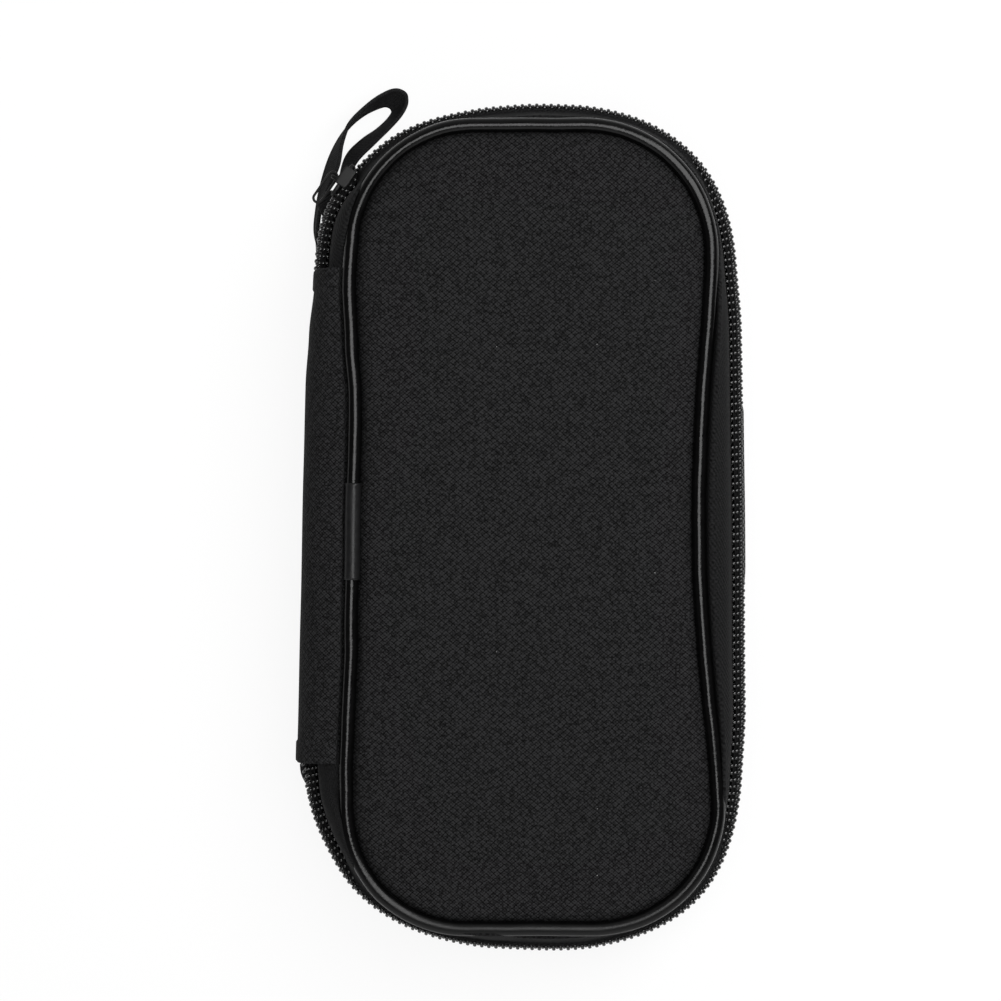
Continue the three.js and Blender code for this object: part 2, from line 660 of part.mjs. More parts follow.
// Assembly
const group = (name) => {
  const made = new THREE.Group();
  made.name = name;
  return made;
};
const add = (parent, name, geometry, material) => {
  const mesh = new THREE.Mesh(geometry, material);
  mesh.name = name;
  parent.add(mesh);
};

const assembly = group('glucose_meter_case');
const lid = group('lid');
const base = group('base');
const slider = group('slider');
assembly.add(lid, base, slider);

for (const [half, side, parent] of [[FRONT, 'front', lid], [REAR, 'rear', base]]) {
  add(parent, `${side}_panel`, panelSheet(half), oxford());
  add(parent, `${side}_foam`, foamPad(half), padding());
  add(parent, `${side}_board`, flatSheet(half, BOARD_TOP, BOARD_THICKNESS), board());
  add(parent, `${side}_lining`, flatSheet(half, LINING_TOP, LINING_THICKNESS), tricot());
  add(parent, `${side}_piping`, pipingBead(half), vinyl());
  add(parent, `${side}_piping_sleeve`, pipingSleeve(half), vinyl());
  add(parent, `${side}_seam_binding`, seamBinding(half), tapeCloth());
  add(parent, `${side}_zip_tape`, zipTape(half), tapeCloth());
  add(parent, `${side}_zip_coil`, coilHalf(half), nylon());
  add(parent, `${side}_spine_leaf`, spineLeaf(half), oxford());
}
add(lid, 'mesh_pocket', netPocket(), elastic());
add(lid, 'pocket_binding', pocketBinding(), elastic());
add(base, 'hang_loop', hangLoop(), tapeCloth());
add(base, 'meter_strap', elasticLoop(METER_STRAP), elastic());
add(base, 'lancer_loop', elasticLoop(LANCER_LOOP), elastic());
add(base, 'vial_loop', elasticLoop(VIAL_LOOP), elastic());

slider.position.set(sliderCorner.x, sliderCorner.y, MID);
slider.rotation.z = THREE.MathUtils.degToRad(SLIDER_ANGLE);
const runner = group('runner');
runner.position.x = CORNER_TOP_SPINE;
slider.add(runner);
add(runner, 'zip_slider', zipSlider(), metal());
add(runner, 'pull_ring', pullRing(), metal());

export default assembly;
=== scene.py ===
import bmesh
import bpy
import numpy as np
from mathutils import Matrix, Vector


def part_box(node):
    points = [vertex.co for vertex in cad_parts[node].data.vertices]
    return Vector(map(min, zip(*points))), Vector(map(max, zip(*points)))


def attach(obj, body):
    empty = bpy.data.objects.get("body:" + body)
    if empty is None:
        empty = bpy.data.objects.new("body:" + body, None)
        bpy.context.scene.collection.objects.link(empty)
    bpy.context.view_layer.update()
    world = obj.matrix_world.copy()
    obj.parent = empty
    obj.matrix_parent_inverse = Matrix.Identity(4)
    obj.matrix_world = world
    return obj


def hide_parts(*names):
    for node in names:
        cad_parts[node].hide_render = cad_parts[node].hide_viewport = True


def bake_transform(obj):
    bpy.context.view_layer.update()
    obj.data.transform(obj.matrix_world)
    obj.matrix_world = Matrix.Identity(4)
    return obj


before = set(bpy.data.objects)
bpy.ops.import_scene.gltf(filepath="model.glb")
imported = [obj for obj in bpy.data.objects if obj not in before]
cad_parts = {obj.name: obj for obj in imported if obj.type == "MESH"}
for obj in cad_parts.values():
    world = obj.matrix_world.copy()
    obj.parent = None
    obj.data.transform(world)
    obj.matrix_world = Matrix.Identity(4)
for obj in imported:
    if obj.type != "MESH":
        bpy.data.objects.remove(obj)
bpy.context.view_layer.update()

# Sizes in millimetres, as in the model. Levels are heights from the parting plane of the chain.
MM = 0.001
MID = 17.0
CASE_MIDDLE = np.array([0.0, 0.0, MID])
FRONT, REAR = 1, -1
BEAD_RADIUS = 1.45
BEAD_LEVEL = 14.0
SLEEVE_RADIUS = 1.66
SLEEVE_LENGTH = 19.8
SLEEVE_OFFSET = 1.25
SLEEVE_THICKNESS = 0.2
PANEL_INSET = 1.35
PANEL_THICKNESS = 0.8
PANEL_EDGE = 13.1
PANEL_ROLL = 2.5
PANEL_ROLL_RUN = 1.1
PANEL_CROWN = 1.4
PANEL_CROWN_RUN = {FRONT: 24, REAR: 9}
LAYER_INSET = 3.2
PAD_GAP = 0.3
PAD_RIM = 0.4
PAD_RIM_RUN = 1.2
BOARD_TOP = 11.7
LINING_MIDDLE = 10.25
LINING_THICKNESS = 0.55
BINDING_MIDDLE = 9.85
BINDING_OUT = -1.75
BINDING_HALF = (1.05, 1.75)
TAPE_FROM = 40.5
TAPE_OUT = -2.7
TAPE_THICKNESS = 0.55
TAPE_BELLY = 3.3
TAPE_SLUMP = (4.8, 3.0)
TAPE_FOOT = 3.4
SHOULDER_LEVEL = 13.0
SHOULDER_RISE = 1.9
TAPE_SEAM = 12.1
TAPE_UNDER = 2.3
COIL_FROM = 47.5
COIL_PITCH = 1.5
COIL_MIDDLE = -1.25
COIL_SWING = 1.45
COIL_HUMP = 0.82
COIL_HUMP_HEIGHT = 0.065
COIL_LEVEL = 1.325
COIL_HALF_HEIGHT = 1.4
FILAMENT_WIDTH = 0.36
FILAMENT_HEIGHT = 0.24
CHAIN_PARTING = 1.4
PARTING_FROM = 0.84
CHAIN_SPREAD = 0.4
SPINE_HALF = 51.5
SPINE_FOOT = 50.3
SPINE_RISE = (7.3, 12.4, 13.9)
SPINE_SEAM = 2.2
SPINE_THICKNESS = 0.55
SPINE_HEM = 0.3
SPINE_TUCK = ((1.9, 12.95), (1.2, 12.5), (0.2, 12.45), (-2.2, 12.45))
SLIDER_ANGLE = 145.2
SLIDER_LENGTH = 8.4
BRIDGE_OUT = 3.17
BRIDGE_ALONG = 0.3
PULL_LEVEL = 0.7
PULL_WIRE = 0.27
NET_LEVEL = 9.25
NET_THICKNESS = 0.3
HEM_LEVEL = 8.85
ELASTIC_THICKNESS = 1.0
FLOOR_GAP = 0.05


def smoothstep(x, low, high):
    t = np.clip((x - low) / (high - low), 0, 1)
    return t * t * (3 - 2 * t)


def eased(x, knots):
    """A value that goes from knot to knot by smoothsteps, so it is level at each knot."""
    place, value = np.array(knots).T
    i = np.clip(np.searchsorted(place, x, "right") - 1, 0, len(place) - 2)
    return value[i] + (value[i + 1] - value[i]) * smoothstep(x, place[i], place[i + 1])


def squared(value, power):
    """A sine or cosine taken to a power with its sign kept, which squares off a circle."""
    return np.sign(value) * np.abs(value) ** power


def unit(vectors):
    return vectors / np.linalg.norm(vectors, axis=-1, keepdims=True)


def circle(count):
    """Even angles round a full turn."""
    return np.linspace(0, 2 * np.pi, count, endpoint=False)


def run_length(points):
    """How far along its line of points each point is, from the line's first one."""
    steps = np.linalg.norm(np.diff(points, axis=-2), axis=-1)
    return np.concatenate([np.zeros((*steps.shape[:-1], 1)), np.cumsum(steps, axis=-1)], axis=-1)


def paired(first, second):
    """Flat points from their two places, each given along one axis or both."""
    return np.stack(np.broadcast_arrays(first, second), axis=-1)


def heading(angle):
    """Flat directions by their angles."""
    return paired(np.cos(angle), np.sin(angle))


def closed(face, back):
    """A closed section: across one face and back along the other."""
    return np.concatenate([face, back[:, ::-1]], axis=1)


def cubic(start, start_slope, end, end_slope, u):
    """A cubic piece by its two ends and the slopes there, at u from 0 to 1."""
    return (start * (1 + 2 * u) * (1 - u) ** 2 + start_slope * u * (1 - u) ** 2
            + end * u ** 2 * (3 - 2 * u) + end_slope * u ** 2 * (u - 1))


class Outline:
    """A closed outline of four corner arcs joined by their outer tangents, counter-clockwise.

    Even stretches are the straight sides, from the spine side on, and odd ones the corners. A dip
    draws a straight side in at its waist. Slack is how far the sewn case lies out from that
    pattern, by distance. Distance starts at the middle of the spine side.
    """

    def __init__(self, corners, dips, slack):
        corners = np.array(corners)
        self.centre = corners[:, :2]
        self.radius = corners[:, 2]
        self.dips = dips
        self.slack = slack
        run = self.centre - np.roll(self.centre, 1, axis=0)
        span = np.hypot(run[:, 0], run[:, 1])
        taper = np.roll(self.radius, 1) - self.radius
        self.facing = np.arctan2(run[:, 1], run[:, 0]) - np.arccos(taper / span)
        self.turn = (np.roll(self.facing, -1) - self.facing) % (2 * np.pi)
        straight = np.sqrt(span ** 2 - taper ** 2)
        self.lengths = np.column_stack([straight, self.turn * self.radius]).ravel()
        self.ends = np.concatenate([[0], np.cumsum(self.lengths)])
        self.total = self.ends[-1]

    def place(self, stretch, t, out=0.0):
        """Points at fraction t of a stretch, moved out along its normal, with its dip and slack."""
        side = stretch // 2
        straight = stretch % 2 == 0
        angle = self.facing[side] + np.where(straight, 0, t * self.turn[side])
        normal = heading(angle)
        start = self.centre[side - 1] + self.radius[side - 1, None] * normal
        end = self.centre[side] + self.radius[side, None] * normal
        along = start + (end - start) * t[:, None]
        point = np.where(straight[:, None], along, end)
        push = out + eased(self.distance(stretch, t), self.slack)
        for dipped, dip in self.dips.items():
            push = push - np.where(stretch == dipped, dip(t), 0)
        return point + push[:, None] * normal

    def locate(self, distance):
        """Stretch and fraction at each distance along the outline."""
        run = (distance + self.lengths[0] / 2) % self.total
        stretch = np.clip(np.searchsorted(self.ends, run, "right") - 1, 0, 7)
        return stretch, (run - self.ends[stretch]) / self.lengths[stretch]

    def at(self, distance, out=0.0):
        return self.place(*self.locate(distance), out)

    def normal(self, distance):
        return self.at(distance, 1.0) - self.at(distance, 0.0)

    def distance(self, stretch, t):
        return self.ends[stretch] + t * self.lengths[stretch] - self.lengths[0] / 2


def waist(depth, skew):
    """A side's dip: depth times a sine hump over the side, to the power 1.4, skewed along it."""
    return lambda t: depth * np.abs(np.sin(np.pi * np.clip(t, 0, 1) ** skew)) ** 1.4


PIPING_END = 56.95
CHAIN_CORNERS = [(-5.7, -47.6, 40), (10.7, -52.6, 35), (9.85, 53.6, 34), (-5.85, 49.6, 38)]
CHAIN_SLACK = [(-48.6, -0.6), (-38, 0.2), (-28, 0.6), (-10, 0.5), (20, 0.2), (45, 0), (68, -0.2),
               (80, 0.3), (105, -0.7), (124, -0.1), (137, -0.6), (156, 0.1), (178, -1.1),
               (200, 0.15), (245, 0.6), (277, 0.7), (294, -0.2), (314, 0.5), (338, -0.4),
               (350, -0.1), (366, -1), (385, -0.1), (394, 0.1), (401, 0.6), (415, -0.6)]
PIPING_SLACK = [(-75, -0.3), (-62, -0.2), (-47, 1), (-38, 0.9), (-26, 0.35), (-6, 0.45), (15, 0),
                (28, -0.5), (48, -0.55), (60, -0.8), (80, -0.2), (172, -0.2), (195, -0.45),
                (246, 0), (266, 0.35), (300, 0)]
pattern = Outline(CHAIN_CORNERS, {}, [(0, 0), (1, 0)])
chain = Outline(CHAIN_CORNERS, {}, CHAIN_SLACK)
piping = Outline(
    [(-11.9, -PIPING_END, 25.5), (14.3, -PIPING_END, 25.5), (12.45, PIPING_END, 25.5),
     (-10.05, PIPING_END, 25.5)],
    {0: waist(1.7, 0.7), 4: waist(3.0, 1.0)}, PIPING_SLACK)
SPINE_SHIFT = (piping.at(np.zeros(1)) - chain.at(np.zeros(1)))[0, 1]
slider_turn = (np.radians(SLIDER_ANGLE) - chain.facing[3]) % (2 * np.pi) / chain.turn[3]
SLIDER_AT = chain.distance(7, slider_turn)


def lift(points, half, level):
    """Flat points raised to a level of the front half, or lowered to one of the rear half."""
    height = np.broadcast_to(MID + half * np.asarray(level, dtype=float), points.shape[:-1])
    return np.concatenate([points, height[..., None]], axis=-1)


def wobble(x, length, waves, seed):
    """Unevenness of hand work along a length: a mean of sines, whole waves each, fixed phases."""
    phases = np.random.default_rng(seed).uniform(0, 2 * np.pi, len(waves))
    turns = np.multiply.outer(2 * np.pi * x / length, waves) + phases
    return np.sin(turns).mean(axis=-1)


def grid_faces(rows, columns, wrap_rows, wrap_columns):
    """Quads between neighbouring grid points. A wrapped way joins its last and first lines."""
    a, b = np.meshgrid(np.arange(rows if wrap_rows else rows - 1),
                       np.arange(columns if wrap_columns else columns - 1), indexing="ij")
    c, d = (a + 1) % rows, (b + 1) % columns
    quads = [a * columns + b, a * columns + d, c * columns + d, c * columns + b]
    return np.stack(quads, axis=-1).reshape(-1, 4)


def keep_flat(mesh, flat):
    """Keeps each point's place on the unrolled cloth, in millimetres, as a UV map."""
    corners = np.empty(len(mesh.loops), dtype=np.int32)
    mesh.loops.foreach_get("vertex_index", corners)
    layer = mesh.uv_layers.new(name="Flat")
    layer.uv.foreach_set("vector", flat[corners].astype(np.float32).ravel())


def join_doubles(mesh, reach):
    """Joins a mesh's points that lie within a reach of each other, in metres."""
    shell = bmesh.new()
    shell.from_mesh(mesh)
    bmesh.ops.remove_doubles(shell, verts=shell.verts, dist=reach)
    shell.to_mesh(mesh)
    shell.free()


def surface(name, points, wrap=(False, False), caps=False, flat=None, weld=False):
    """A mesh over a grid of points in millimetres, with its faces away from the case's middle.

    flat gives each point's place on the unrolled cloth.
    """
    rows, columns = points.shape[:2]
    spots = points.reshape(-1, 3)
    quads = grid_faces(rows, columns, *wrap)
    corner = spots[quads]
    normal = np.cross(corner[:, 2] - corner[:, 0], corner[:, 3] - corner[:, 1])
    inward = np.sum(normal * (corner.mean(axis=1) - CASE_MIDDLE)) < 0
    faces = quads.tolist()
    if caps:
        first = list(range(columns))
        faces += [first[::-1], [(rows - 1) * columns + i for i in first]]
    if inward:
        faces = [face[::-1] for face in faces]
    mesh = bpy.data.meshes.new(name)
    mesh.from_pydata((spots * MM).tolist(), [], faces)
    if flat is not None:
        keep_flat(mesh, flat.reshape(-1, 2))
    if weld:
        join_doubles(mesh, 1e-6)
    mesh.shade_smooth()
    return mesh


def placed(name, data):
    """A new object in the scene."""
    made = bpy.data.objects.new(name, data)
    bpy.context.scene.collection.objects.link(made)
    return made


def piece(mesh, material, body=None, stands_for=()):
    """A finished piece, named like its mesh: its material, the body that it rides on and the nodes
    that it stands for."""
    made = placed(mesh.name, mesh)
    mesh.materials.append(material)
    if body:
        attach(made, body)
    if stands_for:
        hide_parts(*stands_for)
    return made


def thicken(made, thickness, offset=-1.0):
    """Gives a cloth its thickness, inward from the modelled face unless offset says otherwise."""
    wall = made.modifiers.new("Thickness", "SOLIDIFY")
    wall.thickness = thickness * MM
    wall.offset = offset
    wall.use_even_offset = False


# Shader building: nodes by kind, with inputs given as values or as sockets
def connect(tree, socket, value):
    if isinstance(value, bpy.types.NodeSocket):
        tree.links.new(value, socket)
    else:
        socket.default_value = value


def node(tree, kind, inputs=None, **settings):
    made = tree.nodes.new("ShaderNode" + kind)
    for key, value in settings.items():
        setattr(made, key, value)
    for key, value in (inputs or {}).items():
        connect(tree, made.inputs[key], value)
    return made


def calc(tree, operation, *values):
    made = node(tree, "Math", operation=operation)
    for socket, value in zip(made.inputs, values):
        connect(tree, socket, value)
    return made.outputs[0]


def blended(tree, share, low, high):
    """A colour between two, by a share from 0 to 1."""
    made = node(tree, "Mix", data_type="RGBA")
    connect(tree, made.inputs["Factor"], share)
    for key, value in (("A", low), ("B", high)):
        socket = next(s for s in made.inputs if s.name == key and s.type == "RGBA")
        connect(tree, socket, value if isinstance(value, bpy.types.NodeSocket) else (*value, 1))
    return next(s for s in made.outputs if s.type == "RGBA")


def effect(name, inputs, outputs):
    """A new shader node group: its tree, its input sockets by name, and its output node."""
    tree = bpy.data.node_groups.new(name, "ShaderNodeTree")
    for key, kind in inputs.items():
        tree.interface.new_socket(name=key, in_out="INPUT", socket_type="NodeSocket" + kind)
    for key in outputs:
        tree.interface.new_socket(name=key, in_out="OUTPUT", socket_type="NodeSocketFloat")
    start = tree.nodes.new("NodeGroupInput")
    return tree, start.outputs, tree.nodes.new("NodeGroupOutput")


def use(tree, group, inputs):
    made = tree.nodes.new("ShaderNodeGroup")
    made.node_tree = group
    for key, value in inputs.items():
        connect(tree, made.inputs[key], value)
    return made.outputs


def vector_calc(tree, operation, first, second):
    made = node(tree, "VectorMath", operation=operation)
    connect(tree, made.inputs[0], first)
    connect(tree, made.inputs["Scale" if operation == "SCALE" else 1], second)
    return made.outputs[0]


def noise(tree, vector, scale, detail):
    return node(tree, "TexNoise", {"Vector": vector, "Scale": scale, "Detail": detail}).outputs[0]


def stretched_noise(tree, vector, along, across, detail=2.0):
    """Noise drawn out into streaks, by its scale along the first axis and across it."""
    scaled = node(tree, "Mapping", {"Vector": vector, "Scale": (along, across, 1.0)})
    return noise(tree, scaled.outputs[0], 1.0, detail)


def woven_effect():
    """Plain weave seen from a step away: lozenges of four thread tops each, between thin diagonal
    furrows at every second step of the thread counts' sum and difference. A furrow is a raised
    cosine to the eighth power, deeper in some patches, and the cosine's square parts the tops.
    Slow noise bends the threads. A random value for each top, streaks and fibre vary the tone, and
    the
    relief darkens it too: painted shade in the furrows and where the tops part."""
    tree, given, out = effect(
        "plain_weave", {"Vector": "Vector", "Across": "Float", "Along": "Float", "Wander": "Float"},
        ("Height", "Tone"))
    drift = node(tree, "TexNoise", {"Vector": given["Vector"], "Scale": 0.35, "Detail": 2.0})
    shift = vector_calc(tree, "SUBTRACT", drift.outputs["Color"], (0.5, 0.5, 0.5))
    moved = vector_calc(tree, "ADD", given["Vector"],
                        vector_calc(tree, "SCALE", shift, given["Wander"]))
    place = node(tree, "SeparateXYZ", {"Vector": moved})
    thread = [calc(tree, "DIVIDE", place.outputs[i], given[key])
              for i, key in ((0, "Across"), (1, "Along"))]
    count = [calc(tree, "SUBTRACT", *thread), calc(tree, "ADD", calc(tree, "ADD", *thread), 1.0)]
    depth = calc(tree, "ADD", noise(tree, given["Vector"], 1.3, 1.0), -0.1)
    dips = []
    for steps in count:
        wave = calc(tree, "COSINE", calc(tree, "MULTIPLY", steps, np.pi))
        furrow = calc(tree, "POWER", calc(tree, "MULTIPLY_ADD", wave, -0.5, 0.5), 8.0)
        dip = calc(tree, "MULTIPLY_ADD", calc(tree, "MULTIPLY", wave, wave), 0.28,
                   calc(tree, "MULTIPLY", furrow, depth))
        dips.append(dip)
    raised = calc(tree, "SUBTRACT", 1.0, calc(tree, "ADD", *dips))
    cell = [calc(tree, "FLOOR", steps) for steps in count]
    spot = node(tree, "CombineXYZ", {"X": cell[0], "Y": cell[1]})
    luck = node(tree, "TexWhiteNoise", {"Vector": spot.outputs[0]}, noise_dimensions="2D")
    share = calc(tree, "MULTIPLY_ADD", luck.outputs["Value"], 1.1, 0.42)
    weft = stretched_noise(tree, moved, 0.06, 1.5)
    warp = stretched_noise(tree, moved, 1.3, 0.06)
    fibre = noise(tree, given["Vector"], 3.0, 1.0)
    streak = calc(tree, "MULTIPLY_ADD", calc(tree, "ADD", weft, warp), 0.25, -0.25)
    rough = calc(tree, "MULTIPLY_ADD", fibre, 1.5, -0.79)
    # Painted shade: the tone takes the relief, darker in the furrows and where the tops part; the
    # value per top, streaks and fibre are the cloth's own tone.
    tone = calc(tree, "ADD", calc(tree, "MULTIPLY_ADD", raised, share, rough), streak)
    connect(tree, out.inputs["Height"], calc(tree, "MULTIPLY_ADD", fibre, 0.25, raised))
    connect(tree, out.inputs["Tone"], calc(tree, "MAXIMUM", tone, 0.0))
    return tree


def ribbed_effect():
    """Ribs across a narrow band: a sine along the slanted first axis, with fibre noise. Slant 0
    gives the cords of elastic, slant 1 the diagonal of twill. The tone follows the sine as well:
    painted shade in the grooves between ribs, and fibre noise as the cloth's own tone."""
    tree, given, out = effect(
        "ribs", {"Vector": "Vector", "Pitch": "Float", "Slant": "Float"}, ("Height", "Tone"))
    place = node(tree, "SeparateXYZ", {"Vector": given["Vector"]})
    skew = calc(tree, "MULTIPLY_ADD", place.outputs[1], given["Slant"], place.outputs[0])
    turn = calc(tree, "DIVIDE", calc(tree, "MULTIPLY", skew, 2 * np.pi), given["Pitch"])
    rib = calc(tree, "MULTIPLY_ADD", calc(tree, "SINE", turn), 0.5, 0.5)
    fibre = noise(tree, given["Vector"], 2.6, 3.0)
    rough = calc(tree, "MULTIPLY_ADD", fibre, 2.4, -0.87)
    connect(tree, out.inputs["Height"], calc(tree, "MULTIPLY_ADD", fibre, 0.4, rib))
    # Painted shade: the sine darkens the grooves between ribs; the fibre noise is the cloth's own
    # tone.
    connect(tree, out.inputs["Tone"], calc(tree, "MULTIPLY_ADD", rib, 0.36, rough))
    return tree


def lint_effect():
    """Lint: pale specks at a few of the points of a random scatter, about 3 mm apart."""
    tree, given, out = effect("lint", {"Vector": "Vector", "Share": "Float"}, ("Mask",))
    cell = node(tree, "TexVoronoi", {"Vector": given["Vector"], "Scale": 0.34, "Randomness": 1.0})
    pick = node(tree, "SeparateColor", {"Color": cell.outputs["Color"]})
    chosen = calc(tree, "LESS_THAN", pick.outputs[0], given["Share"])
    size = calc(tree, "MULTIPLY_ADD", pick.outputs[1], 0.03, 0.02)
    inside = calc(tree, "LESS_THAN", cell.outputs["Distance"], size)
    connect(tree, out.inputs["Mask"], calc(tree, "MULTIPLY", chosen, inside))
    return tree


plain_weave = woven_effect()
ribs = ribbed_effect()
lint = lint_effect()


def finish(name, roughness, specular):
    """A new material with one surface shader: its tree and its shader node."""
    made = bpy.data.materials.new(name)
    made.use_nodes = True
    tree = made.node_tree
    shader = tree.nodes["Principled BSDF"]
    shader.inputs["Roughness"].default_value = roughness
    shader.inputs["Specular IOR Level"].default_value = specular
    return made, tree, shader


def object_place(tree):
    """The place on the object in millimetres."""
    return vector_calc(tree, "SCALE", node(tree, "TexCoord").outputs["Object"], 1 / MM)


def raise_bump(tree, shader, height, depth, strength=1.0):
    bump = node(tree, "Bump", {"Height": height, "Distance": depth * MM, "Strength": strength})
    connect(tree, shader.inputs["Normal"], bump.outputs[0])


def cloth(name, group, settings, tones, depth, lint_share=0.0, roughness=0.85):
    """A cloth: two tones mixed by a weave group, its relief as bump, and some pale lint."""
    made, tree, shader = finish(name, roughness, 0.12)
    place = node(tree, "UVMap", uv_map="Flat").outputs[0]
    weave = use(tree, group, {"Vector": place, **settings})
    colour = blended(tree, weave["Tone"], *tones)
    if lint_share:
        specks = use(tree, lint, {"Vector": place, "Share": lint_share})
        colour = blended(tree, specks["Mask"], colour, (0.2, 0.2, 0.2))
    connect(tree, shader.inputs["Base Color"], colour)
    raise_bump(tree, shader, weave["Height"], depth)
    return made


def grey(low, high):
    return (low, low, low * 1.04), (high, high, high * 1.04)


oxford = cloth("oxford", plain_weave, {"Across": 0.754, "Along": 0.646, "Wander": 0.5},
               grey(0.001, 0.0256), depth=0.1, lint_share=0.05)
tape_twill = cloth("zip_tape", ribs, {"Pitch": 0.8, "Slant": -0.65}, grey(0.0, 0.018), depth=0.08,
                   lint_share=0.02)
bias_cloth = cloth("binding", ribs, {"Pitch": 0.6, "Slant": 1.0}, grey(0.006, 0.018), depth=0.05,
                   lint_share=0.02)
ribbon_cloth = cloth("ribbon", ribs, {"Pitch": 0.55, "Slant": 0.0}, grey(0.004, 0.025), depth=0.05)
elastic = cloth("elastic", ribs, {"Pitch": 1.1, "Slant": 0.0}, grey(0.006, 0.02), depth=0.2)
tricot = cloth("tricot", plain_weave, {"Across": 0.45, "Along": 0.4, "Wander": 1.2},
               grey(0.006, 0.014), depth=0.05, lint_share=0.03, roughness=0.95)
net_thread = cloth("net", ribs, {"Pitch": 0.3, "Slant": 1.0}, grey(0.006, 0.018), depth=0.03)


def vinyl_finish(name, low, high, roughness, specular, scuff=0.0):
    """Glossy vinyl: near black, with faint mottling in tone and gloss and a fine dimpled surface.
    Scuff is the roughness added at the foot of the case, where it is worn."""
    made, tree, shader = finish(name, roughness, specular)
    place = object_place(tree)
    mottle = noise(tree, place, 0.5, 4.0)
    connect(tree, shader.inputs["Base Color"], blended(tree, mottle, *grey(low, high)))
    along = node(tree, "SeparateXYZ", {"Vector": place}).outputs[1]
    foot = node(tree, "MapRange", {"Value": along, "From Min": -66.0, "From Max": -82.0})
    worn = calc(tree, "MULTIPLY_ADD", foot.outputs[0], scuff, roughness - 0.12)
    connect(tree, shader.inputs["Roughness"], calc(tree, "MULTIPLY_ADD", mottle, 0.25, worn))
    raise_bump(tree, shader, noise(tree, place, 1.6, 3.0), 0.06, 0.6)
    return made


vinyl = vinyl_finish("vinyl", 0.001, 0.003, roughness=0.17, specular=0.26, scuff=0.2)
thread = vinyl_finish("sewing_thread", 0.004, 0.012, roughness=0.8, specular=0.1)
film = vinyl_finish("vinyl_sleeve", 0.006, 0.014, roughness=0.34, specular=0.25)
nylon = vinyl_finish("nylon", 0.002, 0.005, roughness=0.17, specular=1.0)


def metal_finish():
    """Dark plated zinc: satin, paler and rougher in patches where the plating is worn."""
    made, tree, shader = finish("metal", 0.4, 0.14)
    patch = noise(tree, object_place(tree), 0.8, 5.0)
    colour = blended(tree, patch, (0.006, 0.006, 0.006), (0.016, 0.016, 0.016))
    connect(tree, shader.inputs["Base Color"], colour)
    connect(tree, shader.inputs["Roughness"], calc(tree, "MULTIPLY_ADD", patch, 0.3, 0.18))
    raise_bump(tree, shader, patch, 0.05, 0.4)
    return made


def foam_finish():
    """Closed cell foam: small round cells, with painted shade in their hollows."""
    made, tree, shader = finish("padding", 0.95, 0.1)
    pores = node(tree, "TexVoronoi", {"Vector": object_place(tree), "Scale": 2.2})
    cell = pores.outputs["Distance"]
    # Painted shade: the colour is darker toward each cell's middle, which is its hollow.
    connect(tree, shader.inputs["Base Color"], blended(tree, cell, *grey(0.02, 0.045)))
    raise_bump(tree, shader, cell, 0.2)
    return made


def board_finish():
    """Stiffening sheet: matt plastic with a faint drag grain along the case."""
    made, tree, shader = finish("board", 0.6, 0.3)
    grain = stretched_noise(tree, object_place(tree), 2.0, 0.08, 4.0)
    connect(tree, shader.inputs["Base Color"], blended(tree, grain, *grey(0.03, 0.05)))
    raise_bump(tree, shader, grain, 0.03)
    return made


metal = metal_finish()
padding = foam_finish()
board = board_finish()

# Panels: stations round the piping, and rings from the seam in to the panel's middle line
SIDE_STEPS = np.array([64, 22, 20, 22, 64, 22, 20, 22])
STRETCH = np.repeat(np.arange(8), SIDE_STEPS)
FRACTION = np.concatenate([np.arange(n) / n for n in SIDE_STEPS])
PANEL_MIDDLE_X = 1.2
MIDDLE_Y = np.select(
    [STRETCH == 0, STRETCH == 4, STRETCH < 4],
    [PIPING_END * (1 - 2 * FRACTION), PIPING_END * (2 * FRACTION - 1), -PIPING_END], PIPING_END)
MIDDLE_LINE = paired(PANEL_MIDDLE_X, MIDDLE_Y)


def rings(inset, count, power):
    """Rings of a layer: the piping's outline, inset, drawn in toward the panel's middle line. The
    share drawn in is the ring's number over the count, to a power, so rings crowd at the edge.
    Gives the flat points and each one's distance in from the edge."""
    edge = piping.place(STRETCH, FRACTION, -inset)
    reach = MIDDLE_LINE - edge
    share = np.linspace(0, 1, count)[:, None] ** power
    return edge + share[..., None] * reach, share * np.hypot(reach[:, 0], reach[:, 1])


def panel_level(depth, half):
    """A panel's crown: a short steep roll out of the seam, then a quarter sine over its padding."""
    roll = PANEL_ROLL * (1 - np.exp(-depth / PANEL_ROLL_RUN))
    rise = np.clip(depth / PANEL_CROWN_RUN[half], 0, 1)
    return PANEL_EDGE + roll + PANEL_CROWN * np.sin(np.pi / 2 * rise)


def panel_cloth(half, side, body):
    flat, depth = rings(PANEL_INSET, 46, 2.0)
    mesh = surface(f"{side}_panel_cloth", lift(flat, half, panel_level(depth, half)),
                   (False, True), flat=flat, weld=True)
    made = piece(mesh, oxford, body, [f"{side}_panel"])
    thicken(made, PANEL_THICKNESS)


def foam_pad(half, side, body):
    """A pad under its panel: flat below, its rim rounded, and its top just under the cloth."""
    flat, depth = rings(LAYER_INSET, 24, 1.6)
    under = panel_level(depth + LAYER_INSET - PANEL_INSET, half) - PANEL_THICKNESS - PAD_GAP
    low = BOARD_TOP + PAD_GAP
    rim = np.sqrt(1 - (1 - np.clip(depth / PAD_RIM_RUN, 0, 1)) ** 2)
    top = low + PAD_RIM + (under - low - PAD_RIM) * rim
    points = np.concatenate([lift(flat[::-1], half, low), lift(flat, half, top)])
    mesh = surface(f"{side}_foam_pad", points, (False, True), weld=True)
    made = piece(mesh, padding, body, [f"{side}_foam"])


